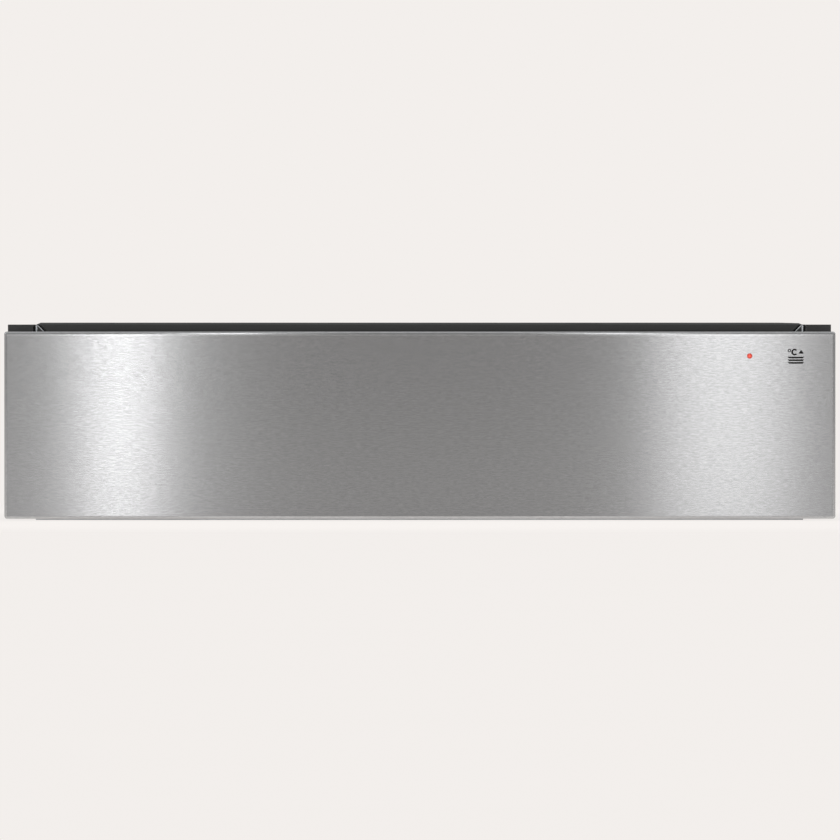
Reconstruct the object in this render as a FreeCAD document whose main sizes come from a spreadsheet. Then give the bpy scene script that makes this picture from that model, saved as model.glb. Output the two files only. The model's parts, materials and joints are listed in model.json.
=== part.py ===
import FreeCAD, Part
import math
import os
import re

import Sketcher
from FreeCAD import Placement, Rotation, Vector

"""Built-in warming drawer, 14 cm class, pushed to open.

Frame: X runs to the right of someone who faces the front, Y runs back into the niche, Z is up.
The origin is under the middle of the whole appliance, on the niche floor. Millimetres and degrees.
"""

# Driving sizes: each is set by itself, and everything else follows from them.
SIZES = {
    # Decorative front, a steel pan closed by an inner panel
    "front_width": 595,
    "front_drop": 6,
    "front_depth": 20,
    "front_lift": 1,
    "front_skin": 1.2,
    "front_bevel": 1.8,
    "front_inner_sheet": 1,
    "front_air_gap": 2,
    "push_gap": 4.5,
    "push_stroke": 3,
    # Housing, without the mounting flanges
    "housing_width": 550,
    "housing_height": 141,
    "housing_depth": 515.5,
    "housing_sheet": 1,
    "top_sheet": 1.5,
    "top_bevel_width": 3,
    "top_bevel_drop": 1.3,
    "rear_return": 12,
    "screw_head_radius": 3.5,
    "screw_head_height": 1.6,
    "screw_radius": 1.75,
    "rear_screw_margin": 20,
    # Mounting flanges
    "flange_sheet": 2,
    "flange_reach": 20,
    "flange_leg": 25,
    "flange_lift": 2,
    "flange_drop": 1,
    "flange_hole_radius": 2.25,
    "flange_hole_inset": 11,
    "flange_hole_margin": 24,
    "relief_width": 2,
    "relief_height": 10,
    "relief_depth": 10,
    "bumper_radius": 4,
    "bumper_height": 1.2,
    "bumper_margin": 10,
    # Rail over the drawer, with mitred ends, and the gussets beside it
    "rail_height": 35.5,
    "rail_sheet": 1.2,
    "rail_return": 12,
    "gusset_width": 8,
    "gusset_leg": 28,
    "mitre_rise": 7,
    "mitre_gap": 1.2,
    # Drawer tray
    "tray_sheet": 0.8,
    "tray_clearance": 10,
    "tray_hem": 6,
    "tray_back_drop": 10,
    "tray_screw_spread": 400,
    "tray_screw_margin": 14,
    "tray_screw_length": 2.6,
    "mat_sheet": 2,
    "mat_margin": 4,
    "mat_corner": 8,
    "slot_width": 4,
    "slot_pitch": 12,
    "back_slot_count": 33,
    "back_slot_margin": 19,
    # Chamber
    "shield_gap": 2.4,
    "shield_sheet": 0.8,
    "rail_gap": 0.8,
    "rear_gap": 13,
    "fan_space": 95.4,
    "partition_sheet": 1,
    "roof_wool": 26,
    "roof_wool_front": 86,
    "roof_wool_side": 19,
    # Telescopic runners, full extension
    "runner_thickness": 13,
    "runner_height": 45,
    "runner_rise": 41,
    "runner_tail": 3,
    "runner_inset": 1.5,
    "runner_sheet": 1.2,
    "web_gap": 1,
    "cage_sheet": 0.5,
    "ball_radius": 1.6,
    "ball_clearance": 0.05,
    "ball_count": 8,
    "cage_slack": 5,
    "cage_end": 10,
    "runner_overlap": 20,
    # Controls in the rail
    "fascia_margin": 2.8,
    "fascia_width": 112,
    "fascia_rise": 3,
    "fascia_drop": 3.5,
    "fascia_rim": 1.5,
    "recess_depth": 14,
    "fascia_floor": 2,
    "knob_inset": 62,
    "knob_radius": 11.5,
    "knob_gap": 1,
    "knob_clear": 1,
    "knob_grip_count": 18,
    "grip_radius": 0.9,
    "knob_wall": 2,
    "shaft_radius": 3,
    "bush_radius": 4.8,
    "bush_gap": 0.2,
    "running_clearance": 0.05,
    "thermostat_width": 34,
    "thermostat_height": 30,
    "thermostat_depth": 22,
    "lamp_inset": 26,
    "lamp_drop": 4,
    "lamp_radius": 2.9,
    "lamp_socket_radius": 4.5,
    "lamp_socket_length": 16,
    "lens_radius": 1.85,
    "lens_collar_radius": 3.5,
    "lens_collar": 1.5,
    "lens_proud": 0.3,
    "guide_radius": 2.5,
    "switch_inset": 94,
    "switch_width": 15,
    "switch_height": 25,
    "switch_bezel": 1.2,
    "switch_depth": 18,
    "rocker_width": 10,
    "rocker_height": 18,
    "rocker_side_gap": 0.4,
    "rocker_end_gap": 1.2,
    "rocker_front": 3.4,
    "rocker_back": 2.4,
    "rocker_dip": 1.2,
    "rocker_angle": 7,
    "rocker_pin_radius": 1.2,
    "rocker_pin_length": 1.5,
    "rocker_pivot_depth": 2.4,
    # Fan, motor and heater behind the partition
    "fan_clearance": 3.8,
    "fan_gap": 11,
    "fan_radius": 48,
    "fan_inner_radius": 34,
    "fan_depth": 21,
    "fan_disc": 1.5,
    "fan_blade_count": 24,
    "blade_sheet": 0.8,
    "hub_radius": 8,
    "hub_length": 14,
    "fan_plate_gap": 38,
    "fan_plate_sheet": 1.2,
    "fan_plate_width": 150,
    "fan_plate_drop": 9.5,
    "fan_plate_foot": 16,
    "motor_radius": 28,
    "motor_length": 34,
    "motor_nose_radius": 9,
    "motor_nose_length": 4.5,
    "motor_shaft_radius": 2.5,
    "plate_clearance": 0.4,
    "heater_headroom": 8.3,
    "heater_tube": 3.2,
    "heater_opening_angle": 24,
    "heater_leg": 32,
    "heater_gap": 20,
    "cutout_side": 52,
    "cutout_rise": 50,
    "cutout_radius": 8,
    "cutout_depth": 6,
    "inlet_slot_length": 26,
    "inlet_slot_inner": 12,
    "inlet_slot_count": 16,
    "outlet_hole_radius": 4,
    "outlet_hole_pitch": 16,
    "outlet_hole_count": 8,
    "outlet_hole_first": 95,
    "outlet_hole_height": 40,
    # Electrics
    "terminal_left": 150,
    "terminal_width": 60,
    "terminal_depth": 20,
    "terminal_height": 18,
    "terminal_setback": 32,
    "inlet_side": 180,
    "inlet_height": 66,
    "inlet_width": 27,
    "inlet_rise": 20,
    "inlet_depth": 25,
    "inlet_wall": 1.6,
    "inlet_socket_depth": 18,
    "inlet_flange": 6,
    "pin_width": 2,
    "pin_height": 5,
    "pin_length": 15,
    "pin_spread": 7,
    "lead_radius": 3,
    "lead_bend": 15,
    "lead_drop": 19.5,
    "lead_side": 6,
    "lead_offset": 12,
    "lead_run": 26,
    "clip_width": 10,
    "clip_height": 12,
    "clip_wall": 1,
    "clip_count": 3,
    "clip_pitch": 130,
    # Vents in the rear panel
    "vent_width": 3,
    "vent_height": 30,
    "vent_pitch": 9,
    "vent_count": 12,
    "vent_drop": 54.5,
    "vent_left": -230,
    # Push latch
    "latch_side": -200,
    "latch_rise": 49,
    "latch_width": 24,
    "latch_wall": 3,
    "spring_length": 25,
    "plunger_radius": 5,
    "plunger_collar": 7,
    "collar_sheet": 3,
    "plunger_stroke": 8,
    "plunger_gap": 0.3,
    "striker_width": 30,
    "striker_sheet": 2,
}

# Places: worked out from the driving sizes, in the order in which they need each other.
PLACES = {
    # Along Y
    "overall_depth": "front_depth + push_gap + housing_depth",
    "front_face": "-overall_depth / 2",
    "front_back": "front_face + front_depth",
    "flange_front": "front_back + push_gap",
    "rear_end": "overall_depth / 2",
    "panel_back": "rear_end - screw_head_height",
    "panel_front": "panel_back - housing_sheet",
    "tray_front_back": "front_back + tray_sheet",
    "partition_front": "panel_front - fan_space",
    "partition_back": "partition_front + partition_sheet",
    "tray_rear": "partition_front - rear_gap",
    "runner_front": "flange_front + runner_inset",
    "runner_rear": "tray_rear - runner_tail",
    "runner_length": "runner_rear - runner_front",
    "drawer_travel": "runner_length - runner_overlap",
    "recess_floor": "flange_front + rail_sheet + recess_depth",
    "fascia_back": "recess_floor + fascia_floor",
    "fan_front": "partition_back + fan_gap",
    "fan_back": "fan_front + fan_depth",
    "fan_plate_front": "partition_back + fan_plate_gap",
    "fan_plate_back": "fan_plate_front + fan_plate_sheet",
    "heater_plane": "partition_back + heater_gap",
    "terminal_front": "partition_back + terminal_setback",
    "terminal_back": "terminal_front + terminal_depth",
    # Across X, as half widths
    "front_half": "front_width / 2",
    "housing_half": "housing_width / 2",
    "wall_inside": "housing_half - housing_sheet",
    "flange_half": "housing_half + flange_reach",
    "flange_hole_half": "housing_half + flange_hole_inset",
    "tray_half": "wall_inside - runner_thickness",
    "tray_inside": "tray_half - tray_sheet",
    "gusset_inner": "wall_inside - gusset_width",
    "rail_half": "gusset_inner - mitre_gap",
    "fascia_right": "rail_half - fascia_margin",
    "fascia_left": "fascia_right - fascia_width",
    "lamp_centre": "fascia_right - lamp_inset",
    "knob_centre": "fascia_right - knob_inset",
    "switch_centre": "fascia_right - switch_inset",
    "lead_start": "knob_centre + lead_offset",
    "lead_line": "wall_inside - lead_side",
    "rear_screw_half": "wall_inside - rear_return / 2",
    # Up Z
    "front_top": "housing_height - front_drop",
    "cover_under": "housing_height - top_sheet",
    "flange_top": "housing_height - flange_drop",
    "flange_hole_low": "flange_lift + flange_hole_margin",
    "flange_hole_high": "flange_top - flange_hole_margin",
    "rail_under": "cover_under - rail_height",
    "mitre_low": "cover_under - mitre_rise",
    "shield_top": "rail_under - rail_gap",
    "shield_under": "shield_top - shield_sheet",
    "tray_top": "shield_under - shield_gap",
    "tray_under": "housing_sheet + tray_clearance",
    "tray_floor": "tray_under + tray_sheet",
    "mat_top": "tray_floor + mat_sheet",
    "back_top": "tray_top - tray_back_drop",
    "runner_centre": "tray_under + runner_rise",
    "latch_height": "tray_under + latch_rise",
    "fascia_low": "rail_under + fascia_rise",
    "fascia_top": "cover_under - fascia_drop",
    "fascia_middle": "(fascia_low + fascia_top) / 2",
    "lamp_height": "fascia_middle - lamp_drop",
    "heater_radius": "(cover_under - heater_headroom - housing_sheet - fan_clearance) / 2 - heater_tube",
    "fan_height": "housing_sheet + fan_clearance + heater_tube + heater_radius",
    "fan_plate_top": "cover_under - fan_plate_drop",
    "cutout_height": "fan_height + cutout_rise",
    "vent_low": "cover_under - vent_drop",
    "lead_height": "cover_under - lead_drop",
    "terminal_top": "housing_sheet + terminal_height",
    "lead_low": "housing_sheet + terminal_height / 2",
    # Runner section: distances from the housing wall towards the tray, and half heights
    "outer_web": "wall_inside - runner_sheet",
    "outer_cage_web": "outer_web - (web_gap - cage_sheet) / 2",
    "middle_web": "outer_web - web_gap",
    "inner_cage_web": "middle_web - runner_sheet - (web_gap - cage_sheet) / 2",
    "inner_tip": "middle_web - runner_sheet - web_gap",
    "inner_web": "tray_half + runner_sheet",
    "middle_tip": "inner_web + web_gap",
    "outer_tip": "inner_web + web_gap - ball_clearance",
    "race_gap": "2 * (ball_radius + ball_clearance)",
    "outer_half": "runner_height / 2",
    "middle_half": "outer_half - runner_sheet - race_gap",
    "inner_half": "middle_half - runner_sheet - race_gap",
    "outer_race": "middle_half + race_gap / 2",
    "inner_race": "inner_half + race_gap / 2",
    "ball_line": "(inner_tip + middle_tip) / 2",
    "cage_tip": "ball_line - 2 * ball_radius",
    "cage_length": "runner_length - drawer_travel / 2 - 2 * cage_slack",
    "cage_front": "runner_front + drawer_travel / 4 + cage_slack",
    "cage_rear": "cage_front + cage_length",
    "ball_pitch": "(cage_length - 2 * cage_end) / (ball_count - 1)",
}

SIDES = (("left", -1), ("right", 1))

# How a sketch on each origin plane stands: the plane's role and the sense of its normal along the third axis.
PLANES = {"XY": ("XY_Plane", 1), "XZ": ("XZ_Plane", -1), "YZ": ("YZ_Plane", 1)}

# How a rod turns from +Z into its own direction.
TURNS = {
    "+X": Rotation(Vector(0, 1, 0), 90),
    "-X": Rotation(Vector(0, 1, 0), -90),
    "+Y": Rotation(Vector(1, 0, 0), -90),
    "-Y": Rotation(Vector(1, 0, 0), 90),
    "+Z": Rotation(),
    "-Z": Rotation(Vector(1, 0, 0), 180),
}

doc = FreeCAD.newDocument("warming_drawer")
nodes = []
cuts = []


# --- Sheets and expressions -------------------------------------------------------------------------


def fill_sheet(name, cells):
    """Write each alias and its content into a spreadsheet of its own."""
    sheet = doc.addObject("Spreadsheet::Sheet", name)
    for row, (alias, content) in enumerate(cells.items(), start=1):
        sheet.set(f"A{row}", alias)
        sheet.set(f"B{row}", content)
        sheet.setAlias(f"B{row}", alias)
    return sheet


def in_sheets(text, own=()):
    """Put the sheet's name before every alias, apart from those of the sheet that the text is for."""
    def with_sheet(match):
        word = match.group(0)
        if word in SIZES:
            return f"Sizes.{word}"
        if word in PLACES and word not in own:
            return f"Places.{word}"
        return word
    return re.sub(r"[a-z]\w*", with_sheet, str(text))


fill_sheet("Sizes", {alias: str(number) for alias, number in SIZES.items()})
places = fill_sheet("Places", {alias: "=" + in_sheets(text, PLACES) for alias, text in PLACES.items()})
doc.recompute()


def value(text):
    """The number that an expression over the two sheets stands for now."""
    return float(places.evalExpression(in_sheets(text, PLACES)))


def bind(thing, links):
    """Bind properties of an object to expressions over the two sheets."""
    for name, text in links.items():
        thing.setExpression(name, in_sheets(text))


def put(thing, x, y, z):
    """Bind the place of an object."""
    bind(thing, {"Placement.Base.x": x, "Placement.Base.y": y, "Placement.Base.z": z})


def node(thing, label):
    """Give a finished sub-part its name and list it for export."""
    thing.Label = label
    nodes.append(thing)
    return thing


# --- Part primitives and booleans -------------------------------------------------------------------


def block(name, x, y, z):
    """A box between two places along each axis."""
    box = doc.addObject("Part::Box", name)
    sides = {"Length": x, "Width": y, "Height": z}
    bind(box, {side: f"({high}) - ({low})" for side, (low, high) in sides.items()})
    put(box, x[0], y[0], z[0])
    return box


def rod(name, direction, start, radius, length):
    """A cylinder that runs from its start in one of the six directions."""
    cylinder = doc.addObject("Part::Cylinder", name)
    cylinder.Placement = Placement(Vector(), TURNS[direction])
    bind(cylinder, {"Radius": radius, "Height": length})
    put(cylinder, *start)
    return cylinder


def ball(name, centre, radius):
    """A sphere."""
    sphere = doc.addObject("Part::Sphere", name)
    bind(sphere, {"Radius": radius})
    put(sphere, *centre)
    return sphere


def fuse(name, shapes):
    """One solid from several that touch or overlap."""
    whole = doc.addObject("Part::MultiFuse", name)
    whole.Shapes = shapes
    return whole


def cut(name, base, tools):
    """A base without its tools."""
    rest = doc.addObject("Part::Cut", name)
    rest.Base = base
    rest.Tool = tools[0] if len(tools) == 1 else group(name + "_tools", tools)
    return rest


def group(name, shapes):
    """Separate solids kept as one node."""
    compound = doc.addObject("Part::Compound", name)
    compound.Links = shapes
    return compound


def screw(name, direction, seat, shank_length):
    """A pan-head screw whose head stands on its seat and whose shank runs in the direction."""
    back = direction.translate(str.maketrans("+-", "-+"))
    head = rod(name + "_head", back, seat, "screw_head_radius", "screw_head_height")
    shank = rod(name + "_shank", direction, seat, "screw_radius", shank_length)
    return fuse(name, [head, shank])


# --- PartDesign bodies ------------------------------------------------------------------------------


def new_body(name):
    """An empty PartDesign body."""
    return doc.addObject("PartDesign::Body", name)


def origin_feature(body, role):
    """One of the body's own origin planes or axes."""
    return next(item for item in body.Origin.OriginFeatures if item.Role == role)


def fix_point(drawing, geometry, point, x, y, tag):
    """Tie a sketch point to its two expressions, measured from the sketch's origin."""
    for kind, text, letter in (("DistanceX", x, "x"), ("DistanceY", y, "y")):
        label = f"{letter}_{tag}"
        index = drawing.addConstraint(Sketcher.Constraint(kind, -1, 1, geometry, point, value(text)))
        drawing.renameConstraint(index, label)
        bind(drawing, {f"Constraints.{label}": text})


def draw_outline(drawing, points, tag):
    """Draw a closed outline of straight edges through points given as pairs of expressions."""
    corners = [Vector(value(x), value(y), 0) for x, y in points]
    count = len(corners)
    edges = [Part.LineSegment(corners[i], corners[(i + 1) % count]) for i in range(count)]
    first = drawing.GeometryCount
    drawing.addGeometry(edges, False)
    for i in range(count):
        drawing.addConstraint(Sketcher.Constraint("Coincident", first + i, 2, first + (i + 1) % count, 1))
    for i, (x, y) in enumerate(points):
        fix_point(drawing, first + i, 1, x, y, f"{tag}_{i}")


def draw_circle(drawing, x, y, radius, tag):
    """Draw a circle from its centre and radius."""
    circle = Part.Circle(Vector(value(x), value(y), 0), Vector(0, 0, 1), value(radius))
    geometry = drawing.addGeometry(circle, False)
    fix_point(drawing, geometry, 3, x, y, tag)
    index = drawing.addConstraint(Sketcher.Constraint("Radius", geometry, value(radius)))
    drawing.renameConstraint(index, f"r_{tag}")
    bind(drawing, {f"Constraints.r_{tag}": radius})


def sketch(body, plane, height, outlines=(), circles=()):
    """A sketch on one of the body's origin planes, moved along the third axis to a height."""
    role, sense = PLANES[plane]
    drawing = body.newObject("Sketcher::SketchObject", body.Name + "_sketch")
    drawing.AttachmentSupport = [(origin_feature(body, role), "")]
    drawing.MapMode = "FlatFace"
    bind(drawing, {"AttachmentOffset.Base.z": f"{sense} * ({height})"})
    for number, outline in enumerate(outlines):
        draw_outline(drawing, outline, f"outline{number}")
    for number, circle in enumerate(circles):
        draw_circle(drawing, *circle, f"circle{number}")
    return drawing


def pad(body, plane, low, high, outlines=(), circles=()):
    """Pad a sketch between two places along the third axis."""
    start = low if PLANES[plane][1] > 0 else high
    feature = body.newObject("PartDesign::Pad", body.Name + "_pad")
    feature.Profile = sketch(body, plane, start, outlines, circles)
    bind(feature, {"Length": f"({high}) - ({low})"})
    body.Tip = feature
    return feature


def pocket(body, plane, low, high, outlines=(), circles=()):
    """Pocket a sketch between two places along the third axis."""
    before = body.Tip
    start = high if PLANES[plane][1] > 0 else low
    feature = body.newObject("PartDesign::Pocket", body.Name + "_pocket")
    feature.Profile = sketch(body, plane, start, outlines, circles)
    bind(feature, {"Length": f"({high}) - ({low})"})
    body.Tip = feature
    cuts.append((before, feature))
    return feature


def repeat_linear(body, feature, axis, pitch, count):
    """Repeat a pocket or pad along one of the body's axes."""
    doc.recompute()
    before = body.Tip
    pattern = body.newObject("PartDesign::LinearPattern", body.Name + "_row")
    pattern.Originals = [feature]
    pattern.Direction = (origin_feature(body, axis), [""])
    pattern.Mode = "Spacing"
    bind(pattern, {"Offset": pitch, "Occurrences": count})
    body.Tip = pattern
    if feature.TypeId == "PartDesign::Pocket":
        cuts.append((before, pattern))
    return pattern


def repeat_round(body, feature, axis, count):
    """Repeat a pocket or pad all the way round one of the body's axes."""
    doc.recompute()
    pattern = body.newObject("PartDesign::PolarPattern", body.Name + "_ring")
    pattern.Originals = [feature]
    pattern.Axis = (origin_feature(body, axis), [""])
    pattern.Angle = 360
    bind(pattern, {"Occurrences": count})
    body.Tip = pattern
    return pattern


def edges_where(feature, wanted):
    """Names of the feature's edges whose middle point is one of those wanted."""
    names = []
    for number, edge in enumerate(feature.Shape.Edges, start=1):
        if wanted(edge.valueAt((edge.FirstParameter + edge.LastParameter) / 2)):
            names.append(f"Edge{number}")
    return names


def dress(body, kind, wanted, links):
    """Fillet or chamfer the edges of the body that are wanted."""
    doc.recompute()
    base = body.Tip
    feature = body.newObject(f"PartDesign::{kind}", f"{body.Name}_{kind.lower()}")
    feature.Base = (base, edges_where(base, wanted))
    bind(feature, links)
    body.Tip = feature
    return feature


def near(a, b):
    """Whether two lengths are the same to a hundredth of a millimetre."""
    return abs(a - b) < 0.01


def rectangle(x, y):
    """The outline of a rectangle between two places along each sketch axis."""
    return [(x[0], y[0]), (x[1], y[0]), (x[1], y[1]), (x[0], y[1])]


def both_ways(half):
    """The two places at the same distance either side of the origin."""
    return f"-({half})", half


def around(middle, half):
    """The two places at the same distance either side of a middle."""
    return f"{middle} - ({half})", f"{middle} + ({half})"


def times(sign, *texts):
    """Expressions on the left or the right side, as low and high places in order."""
    signed = [f"{sign} * ({text})" for text in texts]
    return tuple(sorted(signed, key=value))


# --- Housing ----------------------------------------------------------------------------------------


def build_shell():
    """Base, side panels with their rear returns, top cover with bevelled sides and rear panel."""
    full_depth = ("flange_front", "panel_back")
    base = new_body("base_plate")
    pad(base, "XY", "0", "housing_sheet", [rectangle(both_ways("housing_half"), full_depth)])
    node(base, "base_plate")

    for side, sign in SIDES:
        panel = new_body(f"side_panel_{side}")
        outer, inner = f"{sign} * housing_half", f"{sign} * wall_inside"
        return_tip = f"{sign} * (wall_inside - rear_return)"
        profile = [
            (outer, "flange_front"),
            (outer, "panel_front"),
            (return_tip, "panel_front"),
            (return_tip, "panel_front - housing_sheet"),
            (inner, "panel_front - housing_sheet"),
            (inner, "flange_front"),
        ]
        pad(panel, "XY", "housing_sheet", "cover_under", [profile])
        drill_stations(panel, sign, "wall_inside", "housing_half")
        return_holes = [(x, z, "screw_radius") for x, z in rear_screw_places(sign)]
        pocket(panel, "XZ", "panel_front - housing_sheet", "panel_front", circles=return_holes)
        node(panel, f"side_panel_{side}")

    cover = new_body("top_cover")
    bevel_foot = "housing_height - top_bevel_drop"
    cover_profile = [
        ("-housing_half", "cover_under"),
        ("housing_half", "cover_under"),
        ("housing_half", bevel_foot),
        ("housing_half - top_bevel_width", "housing_height"),
        ("-(housing_half - top_bevel_width)", "housing_height"),
        ("-housing_half", bevel_foot),
    ]
    pad(cover, "XZ", *full_depth, [cover_profile])
    node(cover, "top_cover")

    rear = new_body("rear_panel")
    inlet_x = around("inlet_side", "inlet_width / 2 + plate_clearance")
    inlet_z = around("inlet_height", "inlet_rise / 2 + plate_clearance")
    holes = [(x, z, "screw_radius") for _, sign in SIDES for x, z in rear_screw_places(sign)]
    walls = rectangle(both_ways("housing_half"), ("housing_sheet", "cover_under"))
    pad(rear, "XZ", "panel_front", "panel_back", [walls, rectangle(inlet_x, inlet_z)], holes)
    vent = rectangle(("vent_left", "vent_left + vent_width"), ("vent_low", "vent_low + vent_height"))
    first_vent = pocket(rear, "XZ", "panel_front", "panel_back", [vent])
    repeat_linear(rear, first_vent, "X_Axis", "vent_pitch", "vent_count")
    node(rear, "rear_panel")



def rear_screw_places(sign):
    """Places of the screws that hold the rear panel to the return of one side panel."""
    low, high = "housing_sheet + rear_screw_margin", "cover_under - rear_screw_margin"
    return [(f"{sign} * rear_screw_half", z) for z in (low, high)]


def build_flanges():
    """Angle brackets that screw to the niche, with a bend relief at the top, and the bumpers on them."""
    bumpers = []
    for side, sign in SIDES:
        flange = new_body(f"mounting_flange_{side}")
        root, tip = f"{sign} * housing_half", f"{sign} * flange_half"
        leg_face = f"{sign} * (housing_half + flange_sheet)"
        plate_back, leg_end = "flange_front + flange_sheet", "flange_front + flange_leg"
        profile = [
            (root, "flange_front"),
            (tip, "flange_front"),
            (tip, plate_back),
            (leg_face, plate_back),
            (leg_face, leg_end),
            (root, leg_end),
        ]
        pad(flange, "XY", "flange_lift", "flange_top", [profile])
        relief_x = times(sign, "housing_half", "housing_half + relief_width")
        relief = rectangle(relief_x, ("flange_top - relief_height", "flange_top"))
        pocket(flange, "XZ", "flange_front", "flange_front + relief_depth", [relief])
        hole_x = f"{sign} * flange_hole_half"
        drill_holes(flange, [(hole_x, "flange_hole_low"), (hole_x, "flange_hole_high")])
        node(flange, f"mounting_flange_{side}")
        for place in ("flange_lift + bumper_margin", "flange_top - bumper_margin"):
            seat = (hole_x, "flange_front", place)
            bumpers.append(rod(f"bumper_{side}", "-Y", seat, "bumper_radius", "bumper_height"))
    node(group("front_bumpers", bumpers), "front_bumpers")


def drill_holes(flange, centres):
    """Drill the clearance holes for the mounting screws through the flange."""
    circles = [(x, z, "flange_hole_radius") for x, z in centres]
    profile = sketch(flange, "XZ", "flange_front", circles=circles)
    doc.recompute()
    before = flange.Tip
    hole = flange.newObject("PartDesign::Hole", flange.Name + "_hole")
    hole.Profile = profile
    doc.recompute()
    hole.DepthType = "ThroughAll"
    hole.ThreadType = "None"
    bind(hole, {"Diameter": "2 * flange_hole_radius"})
    flange.Tip = hole
    cuts.append((before, hole))


def build_rail():
    """Folded rail over the drawer with mitred ends and a window for the controls, and its two gussets."""
    rail = new_body("top_rail")
    face_back = "flange_front + rail_sheet"
    return_end = "flange_front + rail_return"
    section = [
        ("flange_front", "rail_under"),
        (return_end, "rail_under"),
        (return_end, "rail_under + rail_sheet"),
        (face_back, "rail_under + rail_sheet"),
        (face_back, "cover_under - rail_sheet"),
        (return_end, "cover_under - rail_sheet"),
        (return_end, "cover_under"),
        ("flange_front", "cover_under"),
    ]
    pad(rail, "YZ", "-(rail_half + mitre_rise)", "rail_half + mitre_rise", [section])
    ends = []
    for _, sign in SIDES:
        beyond = f"{sign} * (rail_half + 2 * mitre_rise)"
        ends.append([
            (f"{sign} * rail_half", "rail_under - rail_gap"),
            (f"{sign} * rail_half", "mitre_low"),
            (f"{sign} * (rail_half + mitre_rise)", "cover_under"),
            (beyond, "cover_under"),
            (beyond, "rail_under - rail_gap"),
        ])
    pocket(rail, "XZ", "flange_front", return_end, ends)
    window = rectangle(("fascia_left", "fascia_right"), ("fascia_low", "fascia_top"))
    pocket(rail, "XZ", "flange_front", face_back, [window])
    node(rail, "top_rail")

    for side, sign in SIDES:
        gusset = new_body(f"corner_gusset_{side}")
        inner, wall = f"{sign} * gusset_inner", f"{sign} * wall_inside"
        face = [
            (inner, "rail_under"),
            (wall, "rail_under"),
            (wall, "cover_under"),
            (f"{sign} * (gusset_inner + mitre_rise)", "cover_under"),
            (inner, "mitre_low"),
        ]
        pad(gusset, "XZ", "flange_front", face_back, [face])
        leg_x = times(sign, "wall_inside - rail_sheet", "wall_inside")
        leg = rectangle(leg_x, ("rail_under", "cover_under"))
        pad(gusset, "XZ", "flange_front", "flange_front + gusset_leg", [leg])
        node(gusset, f"corner_gusset_{side}")


def build_chamber():
    """Roof of the heated chamber, the wool over it and the partition that the air is blown through."""
    across = both_ways("wall_inside")
    shield_y = ("flange_front", "partition_front")
    node(block("heat_shield", across, shield_y, ("shield_under", "shield_top")), "heat_shield")
    wool_x = both_ways("wall_inside - roof_wool_side")
    wool_y = ("flange_front + roof_wool_front", "partition_front")
    wool_z = ("shield_top", "shield_top + roof_wool")
    node(block("roof_insulation", wool_x, wool_y, wool_z), "roof_insulation")

    partition = new_body("rear_partition")
    walls = rectangle(across, ("housing_sheet - fan_height", "cover_under - fan_height"))
    lead_hole = ("lead_line", "lead_height - fan_height", "lead_radius + plate_clearance")
    latch_hole = ("latch_side", "latch_height - fan_height", "plunger_radius + plate_clearance")
    pad(partition, "XZ", "partition_front", "partition_back", [walls], [lead_hole, latch_hole])
    ray = rectangle(both_ways("slot_width / 2"), ("inlet_slot_inner", "inlet_slot_inner + inlet_slot_length"))
    first_ray = pocket(partition, "XZ", "partition_front", "partition_back", [ray])
    repeat_round(partition, first_ray, "Y_Axis", "inlet_slot_count")
    for sign in (-1, 1):
        outlet = (f"{sign} * outlet_hole_first", "outlet_hole_height - fan_height", "outlet_hole_radius")
        first_outlet = pocket(partition, "XZ", "partition_front", "partition_back", circles=[outlet])
        repeat_linear(partition, first_outlet, "X_Axis", "outlet_hole_pitch", "outlet_hole_count / 2")
    put(partition, "0", "0", "fan_height")
    node(partition, "rear_partition")


# --- Drawer -----------------------------------------------------------------------------------------


def build_front():
    """Bevelled steel pan, its insulation and inner panel, the red lens and the light guide behind it."""
    front = new_body("front_panel")
    heights = ("front_lift", "front_top")
    pad(front, "XZ", "front_face", "front_back", [rectangle(both_ways("front_half"), heights)])
    face = value("front_face")
    bevel = {"Size": "min(front_bevel, 1.5 * front_skin)"}
    dress(front, "Chamfer", lambda middle: near(middle.y, face), bevel)
    inside_x = both_ways("front_half - front_skin")
    inside_z = ("front_lift + front_skin", "front_top - front_skin")
    pocket(front, "XZ", "front_face + front_skin", "front_back", [rectangle(inside_x, inside_z)])
    lens_hole = ("lamp_centre", "lamp_height", "lens_radius + running_clearance")
    pocket(front, "XZ", "front_face", "front_face + front_skin", circles=[lens_hole])
    node(front, "front_panel")

    inner = new_body("front_inner_panel")
    guide_hole = ("lamp_centre", "lamp_height", "guide_radius + running_clearance")
    screw_holes = [(x, z, "screw_radius") for x, z in tray_screw_places()]
    inner_front = "front_back - front_inner_sheet"
    outline = rectangle(inside_x, inside_z)
    pad(inner, "XZ", inner_front, "front_back", [outline], [guide_hole, *screw_holes])
    node(inner, "front_inner_panel")

    wool = new_body("front_insulation")
    wool_hole = ("lamp_centre", "lamp_height", "lens_collar_radius + plate_clearance")
    wool_back = "front_back - front_inner_sheet - front_air_gap"
    pad(wool, "XZ", "front_face + front_skin", wool_back, [outline], [wool_hole])
    node(wool, "front_insulation")

    skin_back = "front_face + front_skin"
    collar_back = "front_face + front_skin + lens_collar"
    tip = ("lamp_centre", "front_face - lens_proud", "lamp_height")
    lens_body = rod("lens_tip", "+Y", tip, "lens_radius", "lens_proud + front_skin")
    collar_seat = ("lamp_centre", skin_back, "lamp_height")
    collar = rod("lens_collar_disc", "+Y", collar_seat, "lens_collar_radius", "lens_collar")
    node(fuse("indicator_lens", [lens_body, collar]), "indicator_lens")
    guide_start = ("lamp_centre", collar_back, "lamp_height")
    guide_length = "front_back - front_face - front_skin - lens_collar"
    node(rod("light_guide", "+Y", guide_start, "guide_radius", guide_length), "light_guide")


def tray_screw_places():
    """Places of the screws that hold the tray to the front."""
    across = ("-tray_screw_spread / 2", "0", "tray_screw_spread / 2")
    heights = ("tray_under + tray_screw_margin", "tray_top - tray_screw_margin")
    return [(x, z) for x in across for z in heights]


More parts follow.
